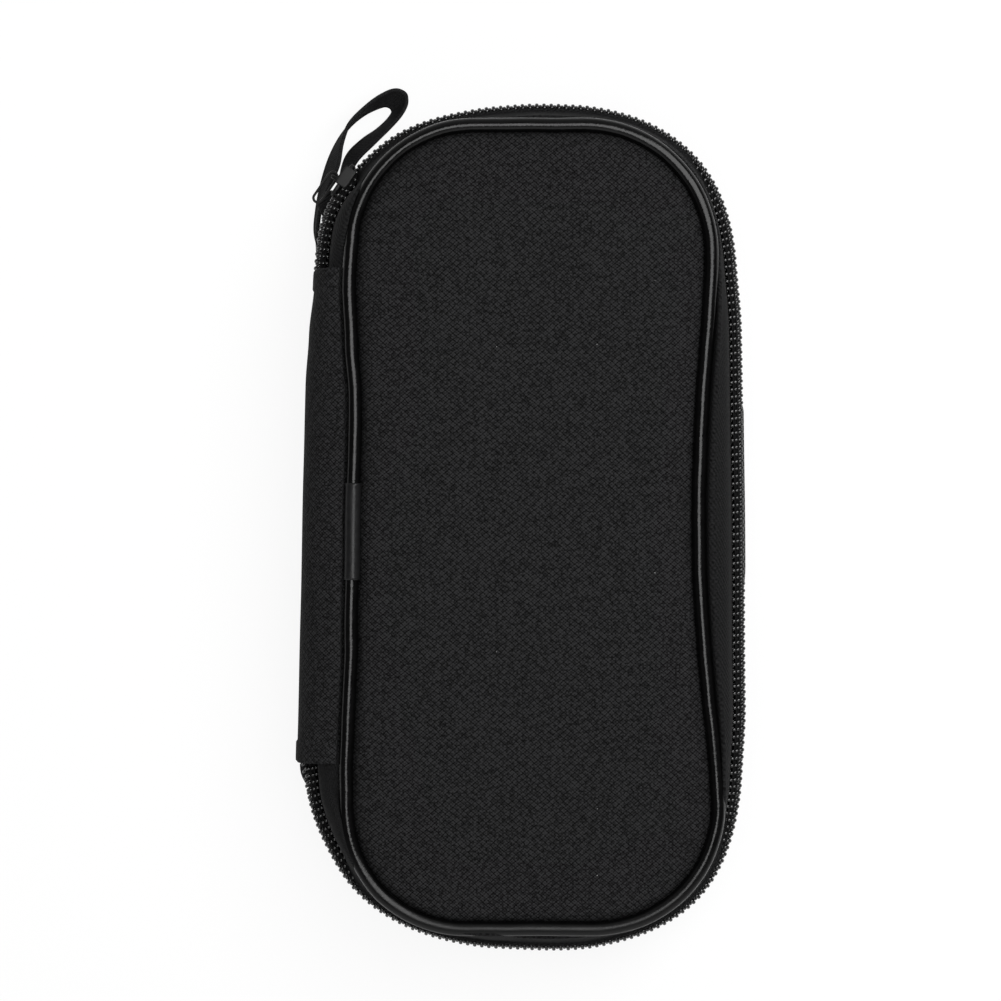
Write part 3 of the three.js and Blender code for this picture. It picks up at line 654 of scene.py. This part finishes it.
def lining_cloth(half, side, body):
    """The inner cloth: nearly flat, a little slack in long shallow waves that die at its edge."""
    flat, depth = rings(LAYER_INSET, 30, 1.5)
    slack = 0.12 * np.sin(flat[..., 1] / 9) * np.sin(flat[..., 0] / 7) * smoothstep(depth, 1, 10)
    mesh = surface(f"{side}_lining_cloth", lift(flat, half, LINING_MIDDLE + slack), (False, True),
                   flat=flat, weld=True)
    made = piece(mesh, tricot, body, [f"{side}_lining"])
    thicken(made, LINING_THICKNESS, 0.0)


# Piping: beads, the sleeve over each joint, and the bias binding inside each seam
def carried(distance, half, out, level):
    """A closed section carried round the piping: at each distance, its points out and up."""
    foot = piping.at(distance)
    normal = piping.normal(distance)
    points = foot[:, None] + out[..., None] * normal[:, None]
    return lift(points, half, level)


def piping_bead(half, side, body):
    """A round bead: radius and level wander by a few hundredths, as a sewn bead does."""
    distance = np.linspace(0, piping.total, 560, endpoint=False)
    turn = circle(20)
    waves = np.array([7, 11, 17, 23, 31, 47])
    radius = BEAD_RADIUS * (1 + 0.03 * wobble(distance, piping.total, waves, 3 + half))
    sway = 0.1 * wobble(distance, piping.total, waves, 8 + half)
    out = sway[:, None] + radius[:, None] * np.cos(turn)
    level = BEAD_LEVEL + radius[:, None] * np.sin(turn)
    mesh = surface(f"{side}_piping_bead", carried(distance, half, out, level), (True, True))
    piece(mesh, vinyl, body, [f"{side}_piping"])


def piping_sleeve(half, side, body):
    """A thin sleeve shrunk over the bead's joint, with two soft ridges along its inner side and
    rolled ends. Its section is a circle raised at 105 and 135 degrees."""
    run = np.linspace(-0.5, 0.5, 40)
    distance = SLEEVE_OFFSET + SLEEVE_LENGTH * run
    turn = circle(32)
    ridge = sum(np.exp(-((turn - np.radians(angle)) / 0.2) ** 2) for angle in (105, 135))
    roll = 0.12 * np.exp(-((0.5 - np.abs(run)) * SLEEVE_LENGTH / 0.5) ** 2)
    radius = SLEEVE_RADIUS + 0.06 * ridge + roll[:, None]
    level = BEAD_LEVEL + radius * np.sin(turn)
    points = carried(distance, half, radius * np.cos(turn), level)
    mesh = surface(f"{side}_sleeve_film", points, (False, True))
    made = piece(mesh, film, body, [f"{side}_piping_sleeve"])
    thicken(made, SLEEVE_THICKNESS)


def seam_binding(half, side, body):
    """Bias tape folded over the raw seam: a rounded U, puckered a little between stitches."""
    distance = np.linspace(0, piping.total, 420, endpoint=False)
    turn = circle(16)
    pucker = 1 + 0.05 * np.sin(2 * np.pi * distance / piping.total * 140)
    half_width, half_height = BINDING_HALF
    out = BINDING_OUT + half_width * pucker[:, None] * squared(np.cos(turn), 0.6)
    level = BINDING_MIDDLE + half_height * squared(np.sin(turn), 0.6)
    points = carried(distance, half, out, np.broadcast_to(level, out.shape))
    flat = paired(distance[:, None], 1.4 * turn)
    mesh = surface(f"{side}_bias_tape", points, (True, True), flat=flat)
    piece(mesh, bias_cloth, body, [f"{side}_seam_binding"])


# Zip
def bezier(a, b, c, d, t):
    """A cubic curve by its four control points."""
    t = t[..., None]
    return a * (1 - t) ** 3 + 3 * b * t * (1 - t) ** 2 + 3 * c * t ** 2 * (1 - t) + d * t ** 3


def tape_over(stretch, t):
    """How far a tape lies over its coil: all the way at the two ends, and not on the two sides."""
    share = {1: smoothstep(t, 0.3, 0.55), 2: 1.0, 3: 1 - smoothstep(t, 0.6, 1),
             5: smoothstep(t, 0.1, 0.6), 6: 1.0, 7: 1 - smoothstep(t, 0.55, 0.62)}
    return sum(np.where(stretch == where, value, 0) for where, value in share.items())


def zip_tape(half, side, body):
    """A woven tape: upright behind the coil or, at the ends, turned out over it, then leaning in to
    a soft shoulder beside the piping, down into its seam and on under the bead, on a smooth curve
    through eight points. The rear tape bellies out past the coil on the open side, past the slider
    and at the foot."""
    distance = np.linspace(TAPE_FROM, chain.total - TAPE_FROM, 460)
    stretch, t = chain.locate(distance)
    upright = chain.place(stretch, t, TAPE_OUT)
    outward = chain.normal(distance)
    seam = piping.place(stretch, t)
    belly = smoothstep(upright[:, 1], -32, -8) * (1 - smoothstep(upright[:, 1], 24, 32))
    slump = TAPE_SLUMP[0] * smoothstep(distance, SLIDER_AT + 0.5, SLIDER_AT + 3.5)
    slump -= TAPE_SLUMP[1] * smoothstep(distance, SLIDER_AT + 6, SLIDER_AT + 9)
    foot = TAPE_FOOT * smoothstep(distance, COIL_FROM, COIL_FROM + 4)
    foot *= 1 - smoothstep(distance, COIL_FROM + 5, COIL_FROM + 15)
    belly = (TAPE_BELLY * belly * (upright[:, 0] > 0) + slump + foot) * (half == REAR)
    over = tape_over(stretch, t)
    reach = np.linalg.norm(upright - seam, axis=1)
    ends = np.minimum(distance - TAPE_FROM, chain.total - TAPE_FROM - distance)
    rise = SHOULDER_RISE * smoothstep(reach, 3.5, 5.5) * smoothstep(ends, 9, 18)
    shoulder = SHOULDER_LEVEL + rise
    near = np.minimum(0.62 * reach, 2.3)
    middle = np.maximum(near + 0.45, 0.55 * reach)
    far = np.maximum(middle + 0.4, 0.85 * reach)

    def beside(step, push):
        """Points a step from the seam toward the upright tape, pushed out from the chain."""
        return seam + (step / reach)[:, None] * (upright - seam) + push[:, None] * outward

    loose = spread(distance, half)
    none = np.zeros_like(reach)
    controls = np.stack([
        lift(beside(reach, 1.85 * over + loose), half, 0.9 + 2.3 * over + 0.5 * parting(distance)),
        lift(beside(reach, 0.9 * over + belly + loose), half, 4.4 - 0.3 * over),
        lift(beside(far, 0.6 * belly), half, shoulder - 3.7),
        lift(beside(middle, none), half, shoulder - 0.6),
        lift(beside(near, none), half, shoulder),
        lift(beside(0.62 * near, none), half, TAPE_SEAM + 0.5),
        lift(beside(none, none), half, TAPE_SEAM),
        lift(beside(none - TAPE_UNDER, none), half, TAPE_SEAM)], axis=1)
    points = through(controls, 33)
    flat = paired(run_length(points), distance[:, None])
    mesh = surface(f"{side}_tape_cloth", points, flat=flat)
    made = piece(mesh, tape_twill, body, [f"{side}_zip_tape"])
    thicken(made, TAPE_THICKNESS, 0.0)


def through(controls, count):
    """A smooth strip through control points across it: cubic pieces, whose tangent at a point is
    half the step from the point before it to the one after."""
    slope = np.gradient(controls, axis=1)
    t = np.linspace(0, controls.shape[1] - 1, count)
    i = np.minimum(t.astype(int), controls.shape[1] - 2)
    u = (t - i)[None, :, None]
    return cubic(controls[:, i], slope[:, i], controls[:, i + 1], slope[:, i + 1], u)


def parting(distance):
    """How far each half of the chain stands off the parting plane, in and past the slider."""
    start = SLIDER_AT - SLIDER_LENGTH / 2 + PARTING_FROM
    return CHAIN_PARTING * smoothstep(distance, start, start + SLIDER_LENGTH)


def coil_half(half, side, body):
    """One filament wound in flat loops, one a pitch. Its reach goes out and in at an even rate that
    slows at both ends, and its level follows a rounded box: the sixth root of one less the reach's
    sixth power. Its back crosses the chain in three humps, and it moves on by a pitch as it comes
    round its head. A core cord fills the loops, and two threads between the humps hold them to the
    tape."""
    count = int((chain.total - 2 * COIL_FROM) / COIL_PITCH) - 1
    loop = np.concatenate([np.linspace(0, 0.5, 24, endpoint=False),
                           np.linspace(0.5, 1, 10, endpoint=False)])
    turn = (np.arange(count)[:, None] + loop).ravel()
    part = turn % 1
    back = part < 0.5
    advance = np.where(back, -0.6 * part, -0.3 + 1.3 * smoothstep(part, 0.5, 1))
    start = COIL_FROM + (COIL_PITCH / 2 if half == REAR else 0)
    distance = start + COIL_PITCH * (np.floor(turn) + advance)
    swing = np.abs(4 * part - 2) - 1
    swing = 1.25 * swing - 0.25 * swing ** 5
    box = np.clip(1 - swing ** 6, 0, 1) ** (1 / 6)
    reach = COIL_SWING * swing
    humps = COIL_HUMP_HEIGHT * np.cos(2 * np.pi * reach / COIL_HUMP) * back * box
    level = COIL_LEVEL + COIL_HALF_HEIGHT * np.where(back, box, -box) + humps + parting(distance)
    out = COIL_MIDDLE + reach + spread(distance, half)
    normal = chain.normal(distance)
    path = lift(chain.at(distance) + out[:, None] * normal, half, level)
    onward = np.cross([0.0, 0.0, 1.0], np.pad(normal, ((0, 0), (0, 1))))
    filament = tube(path, FILAMENT_WIDTH, 8, FILAMENT_HEIGHT, onward)
    mesh = surface(f"{side}_coil_filament", filament, (False, True), caps=True)
    piece(mesh, nylon, body, [f"{side}_zip_coil"])
    end = start + COIL_PITCH * count
    # Each cord's shift out from the coil's middle, its level, its dip at each loop and its radii
    cords = {"core": (0.0, 1.4, 0.0, 0.75, 1.2),
             "inner_thread": (-COIL_HUMP / 2, 2.78, 0.1, 0.16, 0.16),
             "outer_thread": (COIL_HUMP / 2, 2.78, 0.1, 0.16, 0.16)}
    for cord, (shift, rise, dip, width, height) in cords.items():
        run = np.linspace(start, end, 1000)
        wave = dip * np.cos(2 * np.pi * ((run - start) / COIL_PITCH - 0.07))
        out = COIL_MIDDLE + shift + spread(run, half)
        path = lift(chain.at(run) + out[:, None] * chain.normal(run), half,
                    rise + wave + parting(run))
        mesh = surface(f"{side}_coil_{cord}", tube(path, width, 6, height), (False, True),
                       caps=True)
        piece(mesh, thread, body)


def spread(distance, half):
    """How far a half of the chain lies out past the other where the chain leans out, next to the
    two ends of the spine: the rear half goes out and the front half a little in."""
    foot = 1 - smoothstep(distance, COIL_FROM + 3, COIL_FROM + 13)
    return -half * CHAIN_SPREAD * foot + (half == REAR) * 0.35 * parting(distance)


def tube(path, width, sides, height=None, level=None):
    """A tube along a path: at each point, an oval on two axes square to the path. The first is as
    near as can be to the way given as level, or else level with the floor."""
    along = unit(np.gradient(path, axis=0))
    if level is None:
        first = unit(np.cross(along, [0.0, 0.0, 1.0]))
    else:
        first = unit(level - np.sum(level * along, axis=1, keepdims=True) * along)
    second = np.cross(along, first)
    turn = circle(sides)
    ring = (width * np.cos(turn)[:, None] * first[:, None]
            + (height or width) * np.sin(turn)[:, None] * second[:, None])
    return path[:, None] + ring


# Spine cover, hang loop and inside fittings
def spine_cover():
    """One cloth folded over the spine: from the rear seam, out and up to the fold, and in to the
    front seam, on two mirrored cubic curves, with its edges tucked in under the piping. Its ends
    are turned under, which makes them thicker. An inner face, set in by the thickness, closes the
    section."""
    run = np.concatenate([np.linspace(-SPINE_HALF, -SPINE_HALF + 5, 12)[:-1],
                          np.linspace(-SPINE_HALF + 5, SPINE_FOOT - 5, 70),
                          np.linspace(SPINE_FOOT - 5, SPINE_FOOT, 12)[1:]])
    end = np.minimum(run + SPINE_HALF, SPINE_FOOT - run)
    hem = 1 - smoothstep(end, 4.0, 4.6)
    thick = (SPINE_THICKNESS + SPINE_HEM * hem) * (0.55 + 0.45 * smoothstep(end, 0, 0.5))
    stand = 0.35 + 0.6 * run / SPINE_HALF
    share = np.linspace(0, 1, 16)

    def face(out, low):
        side = chain.at(run) + out[:, None] * chain.normal(run)
        seam = piping.at(run + SPINE_SHIFT, SPINE_SEAM)
        halves = []
        for half in (REAR, FRONT):
            levels = (np.zeros_like(low), *(rise - low for rise in SPINE_RISE))
            feet = (side, side, side, seam)
            curve = bezier(*[lift(foot, half, level)[:, None] for foot, level in zip(feet, levels)],
                           share[None])
            tuck = [lift(piping.at(run + SPINE_SHIFT, step), half, level - low)[:, None]
                    for step, level in SPINE_TUCK]
            curve = np.concatenate([curve, *tuck], axis=1)
            halves.append(curve[:, ::-1] if half == REAR else curve[:, 1:])
        return np.concatenate(halves, axis=1)

    inner = face(stand, thick)
    outer = face(stand + thick, np.zeros_like(run))
    points = closed(outer, inner)
    across = run_length(outer)
    flat = paired(closed(across, across), run[:, None])
    mesh = surface("spine_cover", points, (False, True), caps=True, flat=flat)
    made = piece(mesh, oxford, None, ["front_spine_leaf", "rear_spine_leaf"])
    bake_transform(made)


RIBBON_WIDTH = 6.8
RIBBON_TOP = -5.36
RIBBON_UPPER = np.array([
    [-5, -0.9], [0, -0.8], [4.5, 0.3], [9.1, 1.5], [13.2, 2.5], [17.4, 3], [22, 4], [25.6, 6.6],
    [28.6, 8.4], [32.5, 9.1], [36.1, 9.4], [38.6, 9], [39.8, 7.2], [39.3, 5.4], [37.5, 3.8],
    [34.4, 2.6], [29.8, 1.8], [24.5, 1.6], [20, 0.6], [16, -0.6], [13, -1.7]])
RIBBON_LOWER = np.array([
    [-5, -4.4], [0, -4], [4, -0.6], [8, 2], [12, 3.4], [16.2, 4.9], [20.6, 6.5], [24.8, 7.8],
    [28.4, 8.5], [31.4, 8.4], [33.9, 7.8], [35.4, 7.2], [36, 6.3], [35.8, 5.4], [34.6, 4.7],
    [31.6, 4.2], [28.2, 4.6], [24.4, 4.6], [20.5, 2.8], [16.6, 0.2], [13, -2.4]])


def smooth_path(points, count):
    """A smooth curve through points: cubic pieces whose tangents point from the one before each
    point to the one after, each piece run in the square root of its length."""
    step = np.sqrt(np.linalg.norm(np.diff(points, axis=0), axis=1))
    knot = np.concatenate([[0], np.cumsum(step)])
    slope = np.gradient(points, knot, axis=0)
    t = np.linspace(0, knot[-1], count)
    i = np.clip(np.searchsorted(knot, t, "right") - 1, 0, len(step) - 1)
    h = step[i][:, None]
    u = ((t - knot[i]) / step[i])[:, None]
    return cubic(points[i], slope[i] * h, points[i + 1], slope[i + 1] * h, u)


def hang_loop():
    """A ribbon on edge between an upper and a lower edge curve: across, a line between the two;
    through, a thickness that swells at both selvedges."""
    def edge(route):
        place = pattern.total - SPINE_HALF - route[:, 0]
        feet = pattern.at(place) + route[:, 1:] * pattern.normal(place)
        return smooth_path(feet, 160)

    upper, lower = edge(RIBBON_UPPER), edge(RIBBON_LOWER)
    lean = np.linalg.norm(lower - upper, axis=1)
    drop = np.sqrt(np.clip(RIBBON_WIDTH ** 2 - lean ** 2, 0, None))
    top = lift(upper, FRONT, RIBBON_TOP)
    bottom = lift(lower, FRONT, RIBBON_TOP - drop)
    share = np.linspace(0, 1, 15)
    face = top[:, None] + share[None, :, None] * (bottom - top)[:, None]
    along = np.gradient(face, axis=0)
    side = unit(np.cross(along, np.broadcast_to((bottom - top)[:, None], along.shape)))
    edge_near = np.minimum(share, 1 - share) * RIBBON_WIDTH
    selvedge = 0.16 * np.exp(-((edge_near - 0.5) / 0.4) ** 2)
    thick = 0.26 + selvedge - 0.2 * np.exp(-edge_near / 0.08)
    swell = side * thick[None, :, None]
    points = closed(face + swell, face - swell)
    across = closed(share[None], share[None]) * RIBBON_WIDTH
    flat = paired(run_length(upper)[:, None], across)
    mesh = surface("hang_ribbon", points, (False, True), caps=True, flat=flat)
    piece(mesh, ribbon_cloth, "base", ["hang_loop"])


def rim_across(y):
    """The two points of the layers' rim at each height: the spine side's and the open side's x."""
    rim = piping.place(STRETCH, FRACTION, -LAYER_INSET)
    rim = rim[rim[:, 1].argsort()]
    left, right = rim[rim[:, 0] < PANEL_MIDDLE_X], rim[rim[:, 0] >= PANEL_MIDDLE_X]
    return np.interp(y, left[:, 1], left[:, 0]), np.interp(y, right[:, 1], right[:, 0])


def net_pocket():
    """An open net: rows and columns of square cells fitted between the rim's two sides, each cell
    a ring of eight quads between its corners and mid-sides and a small round hole."""
    rows, columns = 50, 42
    mouth, foot = 14.0, -77.5
    v, u = np.meshgrid(np.arange(rows), np.arange(columns), indexing="ij")
    ring_place = heading(circle(8))
    square = np.sign(np.round(ring_place, 6)) / 2
    hole = 0.34 * ring_place
    local = np.concatenate([square, hole]) + 0.5
    cell_u = (u[..., None] + local[:, 0]) / columns
    cell_v = (v[..., None] + local[:, 1]) / rows
    y = foot + (mouth - foot) * cell_v
    left, right = rim_across(y)
    x = left + (right - left) * cell_u
    sag = 0.25 * np.sin(np.pi * cell_u) * np.sin(np.pi * cell_v)
    points = lift(paired(x, y).reshape(-1, 2), FRONT, (NET_LEVEL - sag).ravel())
    base = (np.arange(rows * columns) * 16)[:, None, None]
    ring = np.arange(8)
    quad = np.stack([ring, (ring + 1) % 8, 8 + (ring + 1) % 8, 8 + ring], axis=-1)
    faces = (base + quad).reshape(-1, 4)
    mesh = bpy.data.meshes.new("pocket_net")
    mesh.from_pydata((points * MM).tolist(), [], faces.tolist())
    keep_flat(mesh, points[:, :2])
    join_doubles(mesh, 2e-5)
    made = piece(mesh, net_thread, "lid", ["mesh_pocket"])
    thicken(made, NET_THICKNESS, 0.0)


def thinned(edge, rim):
    """Half the thickness of elastic by the distance from its edge, where it is rim of the whole."""
    return ELASTIC_THICKNESS / 2 * (rim + (1 - rim) * smoothstep(edge, 0, 0.9))


def band(path, width):
    """A flat band of elastic: a path in X and Z carried along Y, with a thickness square to the
    path, thinner at its two edges, and a slight wave in those edges."""
    along = unit(np.gradient(path, axis=0))
    square = paired(-along[:, 1], along[:, 0])
    share = np.linspace(0, 1, 17)
    edge = np.minimum(share, 1 - share) * width
    half = thinned(edge, 0.35)
    length = run_length(path)
    y = (share[None] - 0.5) * (width - 0.3 + 0.15 * np.sin(length * 2.1)[:, None])
    layers = []
    for sign in (1, -1):
        spot = path[:, None] + sign * half[None, :, None] * square[:, None]
        layers.append(np.stack([spot[..., 0], y, spot[..., 1]], axis=-1))
    points = closed(*layers)
    across = closed(share[None], share[None]) * width
    return points, paired(across, length[:, None])


def elastic_loop(name, node_name, span):
    """A loop of elastic sewn at two feet: flat feet, legs that lean in, and a raised band."""
    low, high = (np.array(corner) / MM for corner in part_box(node_name))
    middle, seat = (low + high) / 2, low[2] + ELASTIC_THICKNESS / 2
    reach = (high[0] - low[0]) / 2
    leg = span / 2
    right = np.array([[reach, 0], [leg + 1.2, 0], [leg + 0.1, 1.2], [leg - 0.6, 4.2],
                      [leg - 1.9, 7.4], [leg - 4.5, 8.2]])
    route = np.concatenate([right, (right * [-1, 1])[::-1]])
    path = smooth_path(route, 90)
    points, flat = band(path, high[1] - low[1])
    points = points + np.array([middle[0], middle[1], seat])
    mesh = surface(name, points, (False, True), caps=True, flat=flat)
    piece(mesh, elastic, "base", [node_name])


def pocket_hem():
    """The pocket's mouth: a band of elastic from rim to rim, its two edges rounded."""
    low, high = (np.array(corner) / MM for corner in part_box("pocket_binding"))
    y = np.linspace(low[1], high[1], 15)
    left, right = rim_across(y)
    u = np.linspace(0, 1, 90)[:, None]
    x = left + (right - left) * u
    edge = np.minimum(y - low[1], high[1] - y)
    half = thinned(edge, 0.4)
    middle = HEM_LEVEL + 0.12 * np.sin(u * 140)
    spots = paired(x, y[None])
    layers = [lift(spots, FRONT, middle + sign * half) for sign in (1, -1)]
    points = closed(*layers)
    flat = paired(closed(y[None], y[None]), u * 70)
    mesh = surface("pocket_hem", points, (False, True), caps=True, flat=flat)
    piece(mesh, elastic, "lid", ["pocket_binding"])


# Slider and pull
def slider_point(out, along, height):
    """A point of the slider: out from the chain, along it and up, at the slider's angle."""
    angle = np.radians(SLIDER_ANGLE)
    radial = heading(angle)
    onward = np.array([-radial[1], radial[0]])
    foot = chain.centre[3] + (chain.radius[3] + np.asarray(out))[..., None] * radial
    return lift(foot + np.asarray(along)[..., None] * onward, FRONT, height)


def pull_link():
    """The pull: an oval link of round wire, two half circles joined by straight runs."""
    bore, wire, length = 0.595, 0.7, 8.0
    radius = bore + wire / 2
    far = length - 2 * (bore + wire)
    turn = np.linspace(0, np.pi, 13)
    oval = np.concatenate([radius * heading(turn) + [0, far], -radius * heading(turn)])
    path = slider_point(BRIDGE_OUT + oval[:, 0], BRIDGE_ALONG + oval[:, 1], PULL_LEVEL)
    along = unit(np.roll(path, -1, axis=0) - np.roll(path, 1, axis=0))
    up = np.array([0.0, 0.0, 1.0])
    side = np.cross(along, up)
    angle = circle(12)
    ring = np.cos(angle)[:, None] * side[:, None] + np.sin(angle)[:, None] * up
    mesh = surface("pull_link", path[:, None] + PULL_WIRE * ring, (True, True))
    piece(mesh, metal, "pull", ["pull_ring"])


def rounded_block(middle, half):
    """Points of a block with rounded edges, in the slider's own axes: a ball whose sines and
    cosines are taken to the power 0.3, stretched to the block's half sizes."""
    up, turn = np.meshgrid(np.linspace(-np.pi / 2, np.pi / 2, 17),
                           np.linspace(-np.pi, np.pi, 33)[:-1], indexing="ij")
    level = squared(np.cos(up), 0.3)
    ball = [level * squared(np.cos(turn), 0.3), level * squared(np.sin(turn), 0.3),
            squared(np.sin(up), 0.3)]
    return slider_point(*(m + h * side for m, h, side in zip(middle, half, ball)))


def slider_body():
    """The slider: two plates held apart by a post, a flange along each edge of the outer one, and
    a bridge of round wire for the pull. Sizes are out from the chain, along it and up."""
    blocks = {
        "slider_flange_front": ((0.65, -1.0, 4.73), (1.35, 2.15, 0.27)),
        "slider_flange_rear": ((0.65, -1.0, -4.73), (1.35, 2.15, 0.27)),
        "slider_outer_plate": ((0.85, -0.2, 0.0), (0.5, 3.9, 4.7)),
        "slider_inner_plate": ((-4.9, -0.2, 0.0), (0.5, 3.9, 4.3)),
        "slider_post": ((-2.0, 2.6, 0.0), (2.9, 1.1, 0.45)),
    }
    meshes = [surface(name, rounded_block(*sizes), (False, True), weld=True)
              for name, sizes in blocks.items()]
    height = np.array([-1.8, -1.8, -1.5, 0.0, 1.5, 1.8, 1.8])
    reach = np.array([0.6, 2.4, 3.05, BRIDGE_OUT, 3.05, 2.4, 0.6])
    wire = smooth_path(slider_point(reach, np.full(7, BRIDGE_ALONG), height), 40)
    onward = slider_point(0.0, 1.0, 0.0) - slider_point(0.0, 0.0, 0.0)
    bridge = tube(wire, 0.4, 10, level=np.broadcast_to(onward, wire.shape))
    meshes.append(surface("slider_bridge", bridge, (False, True), caps=True))
    for mesh in meshes:
        made = piece(mesh, metal, "slider")
        if mesh.name == "slider_outer_plate":
            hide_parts("zip_slider")


def dress_node(name, material):
    """A model node that stays, with its material."""
    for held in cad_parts[name].material_slots:
        held.material = material


for half, side, body in ((FRONT, "front", "lid"), (REAR, "rear", "base")):
    foam_pad(half, side, body)
    panel_cloth(half, side, body)
    dress_node(f"{side}_board", board)
    lining_cloth(half, side, body)
    piping_bead(half, side, body)
    piping_sleeve(half, side, body)
    seam_binding(half, side, body)
    zip_tape(half, side, body)
    coil_half(half, side, body)
spine_cover()
hang_loop()
net_pocket()
pocket_hem()
elastic_loop("meter_strap_band", "meter_strap", 32)
elastic_loop("lancer_loop_band", "lancer_loop", 13)
elastic_loop("vial_loop_band", "vial_loop", 26)
slider_body()
pull_link()


# Stage: a white floor, a softbox over the case, dim surroundings and the camera straight above
def seen(tree):
    """Two shares: 1 for rays from the camera or through glass, and 1 for rays off gloss."""
    path = node(tree, "LightPath").outputs
    direct = calc(tree, "MAXIMUM", path["Is Camera Ray"], path["Is Transmission Ray"])
    return direct, path["Is Glossy Ray"]


def emptied(owner):
    """The shader tree of a material or world, with no nodes."""
    owner.use_nodes = True
    owner.node_tree.nodes.clear()
    return owner.node_tree


def end_tree(tree, share, first, second, output):
    """Ends a shader tree with two shaders, the second for a share of the rays."""
    both = node(tree, "MixShader", {"Fac": share})
    connect(tree, both.inputs[1], first.outputs[0])
    connect(tree, both.inputs[2], second.outputs[0])
    connect(tree, node(tree, output).inputs["Surface"], both.outputs[0])


def floor_finish():
    """White paper: it glows for direct views, and less so in gloss, which shows its shading too."""
    made = bpy.data.materials.new("floor")
    tree = emptied(made)
    matt = node(tree, "BsdfDiffuse", {"Color": (0.8, 0.8, 0.8, 1)})
    white = node(tree, "Emission", {"Color": (1, 1, 1, 1), "Strength": 1.05})
    direct, gloss = seen(tree)
    share = calc(tree, "MULTIPLY_ADD", direct, 0.85, calc(tree, "MULTIPLY", gloss, 0.2))
    end_tree(tree, share, matt, white, "OutputMaterial")
    return made


def floor():
    """A round floor of 2 m radius at the case's back: rings of 64 points."""
    reach = np.array([0.0, 250.0, 2000.0])[:, None, None]
    spots = reach * heading(circle(64))
    mesh = surface("floor", lift(spots, REAR, MID + FLOOR_GAP), (False, True), weld=True)
    mesh.flip_normals()
    made = placed("floor", mesh)
    mesh.materials.append(floor_finish())


def surroundings():
    """The world: white for direct views and, at the horizon, for mirrored ones. Its light is dim to
    the left and right and brighter toward both ends of the case, by the square of Y, with some more
    from the foot end."""
    world = bpy.data.worlds.new("surroundings")
    bpy.context.scene.world = world
    tree = emptied(world)
    way = node(tree, "SeparateXYZ", {"Vector": node(tree, "TexCoord").outputs["Generated"]}).outputs
    near = node(tree, "MapRange", {"Value": way[2], "From Min": 0.06, "From Max": 0.0})
    foot = node(tree, "MapRange",
                {"Value": way[1], "From Min": -0.3, "From Max": -0.8, "To Max": 0.5})
    light = calc(tree, "MULTIPLY_ADD", calc(tree, "MULTIPLY", way[1], way[1]), 0.42, 0.07)
    light = calc(tree, "ADD", light, foot.outputs[0])
    fill = node(tree, "Background", {"Color": (1, 1, 1, 1), "Strength": light})
    white = node(tree, "Background", {"Color": (1, 1, 1, 1), "Strength": 1.0})
    direct, gloss = seen(tree)
    share = calc(tree, "MAXIMUM", direct, calc(tree, "MULTIPLY", near.outputs[0], gloss))
    end_tree(tree, share, fill, white, "OutputWorld")


def softbox(name, place, width, length, radiance):
    """A lamp panel, long in Y, turned toward the case's middle, of an even radiance."""
    lamp = bpy.data.lights.new(name, "AREA")
    lamp.shape = "RECTANGLE"
    lamp.size = width
    lamp.size_y = length
    lamp.energy = radiance * np.pi * width * length
    made = placed(name, lamp)
    made.location = place
    aim = made.location.copy()
    aim.z -= MID * MM
    made.rotation_euler = aim.to_track_quat("Z", "Y").to_euler()
    made.visible_camera = False


def camera():
    lens = bpy.data.cameras.new("camera")
    lens.sensor_width = 36
    lens.lens = 155.6
    made = placed("camera", lens)
    made.location = (-0.00497, 0.00551, 0.917)
    bpy.context.scene.camera = made


floor()
surroundings()
softbox("overhead", (0.16, 0.14, 0.62), width=0.3, length=0.8, radiance=5.6)
camera()
bpy.context.scene.view_settings.view_transform = "Standard"
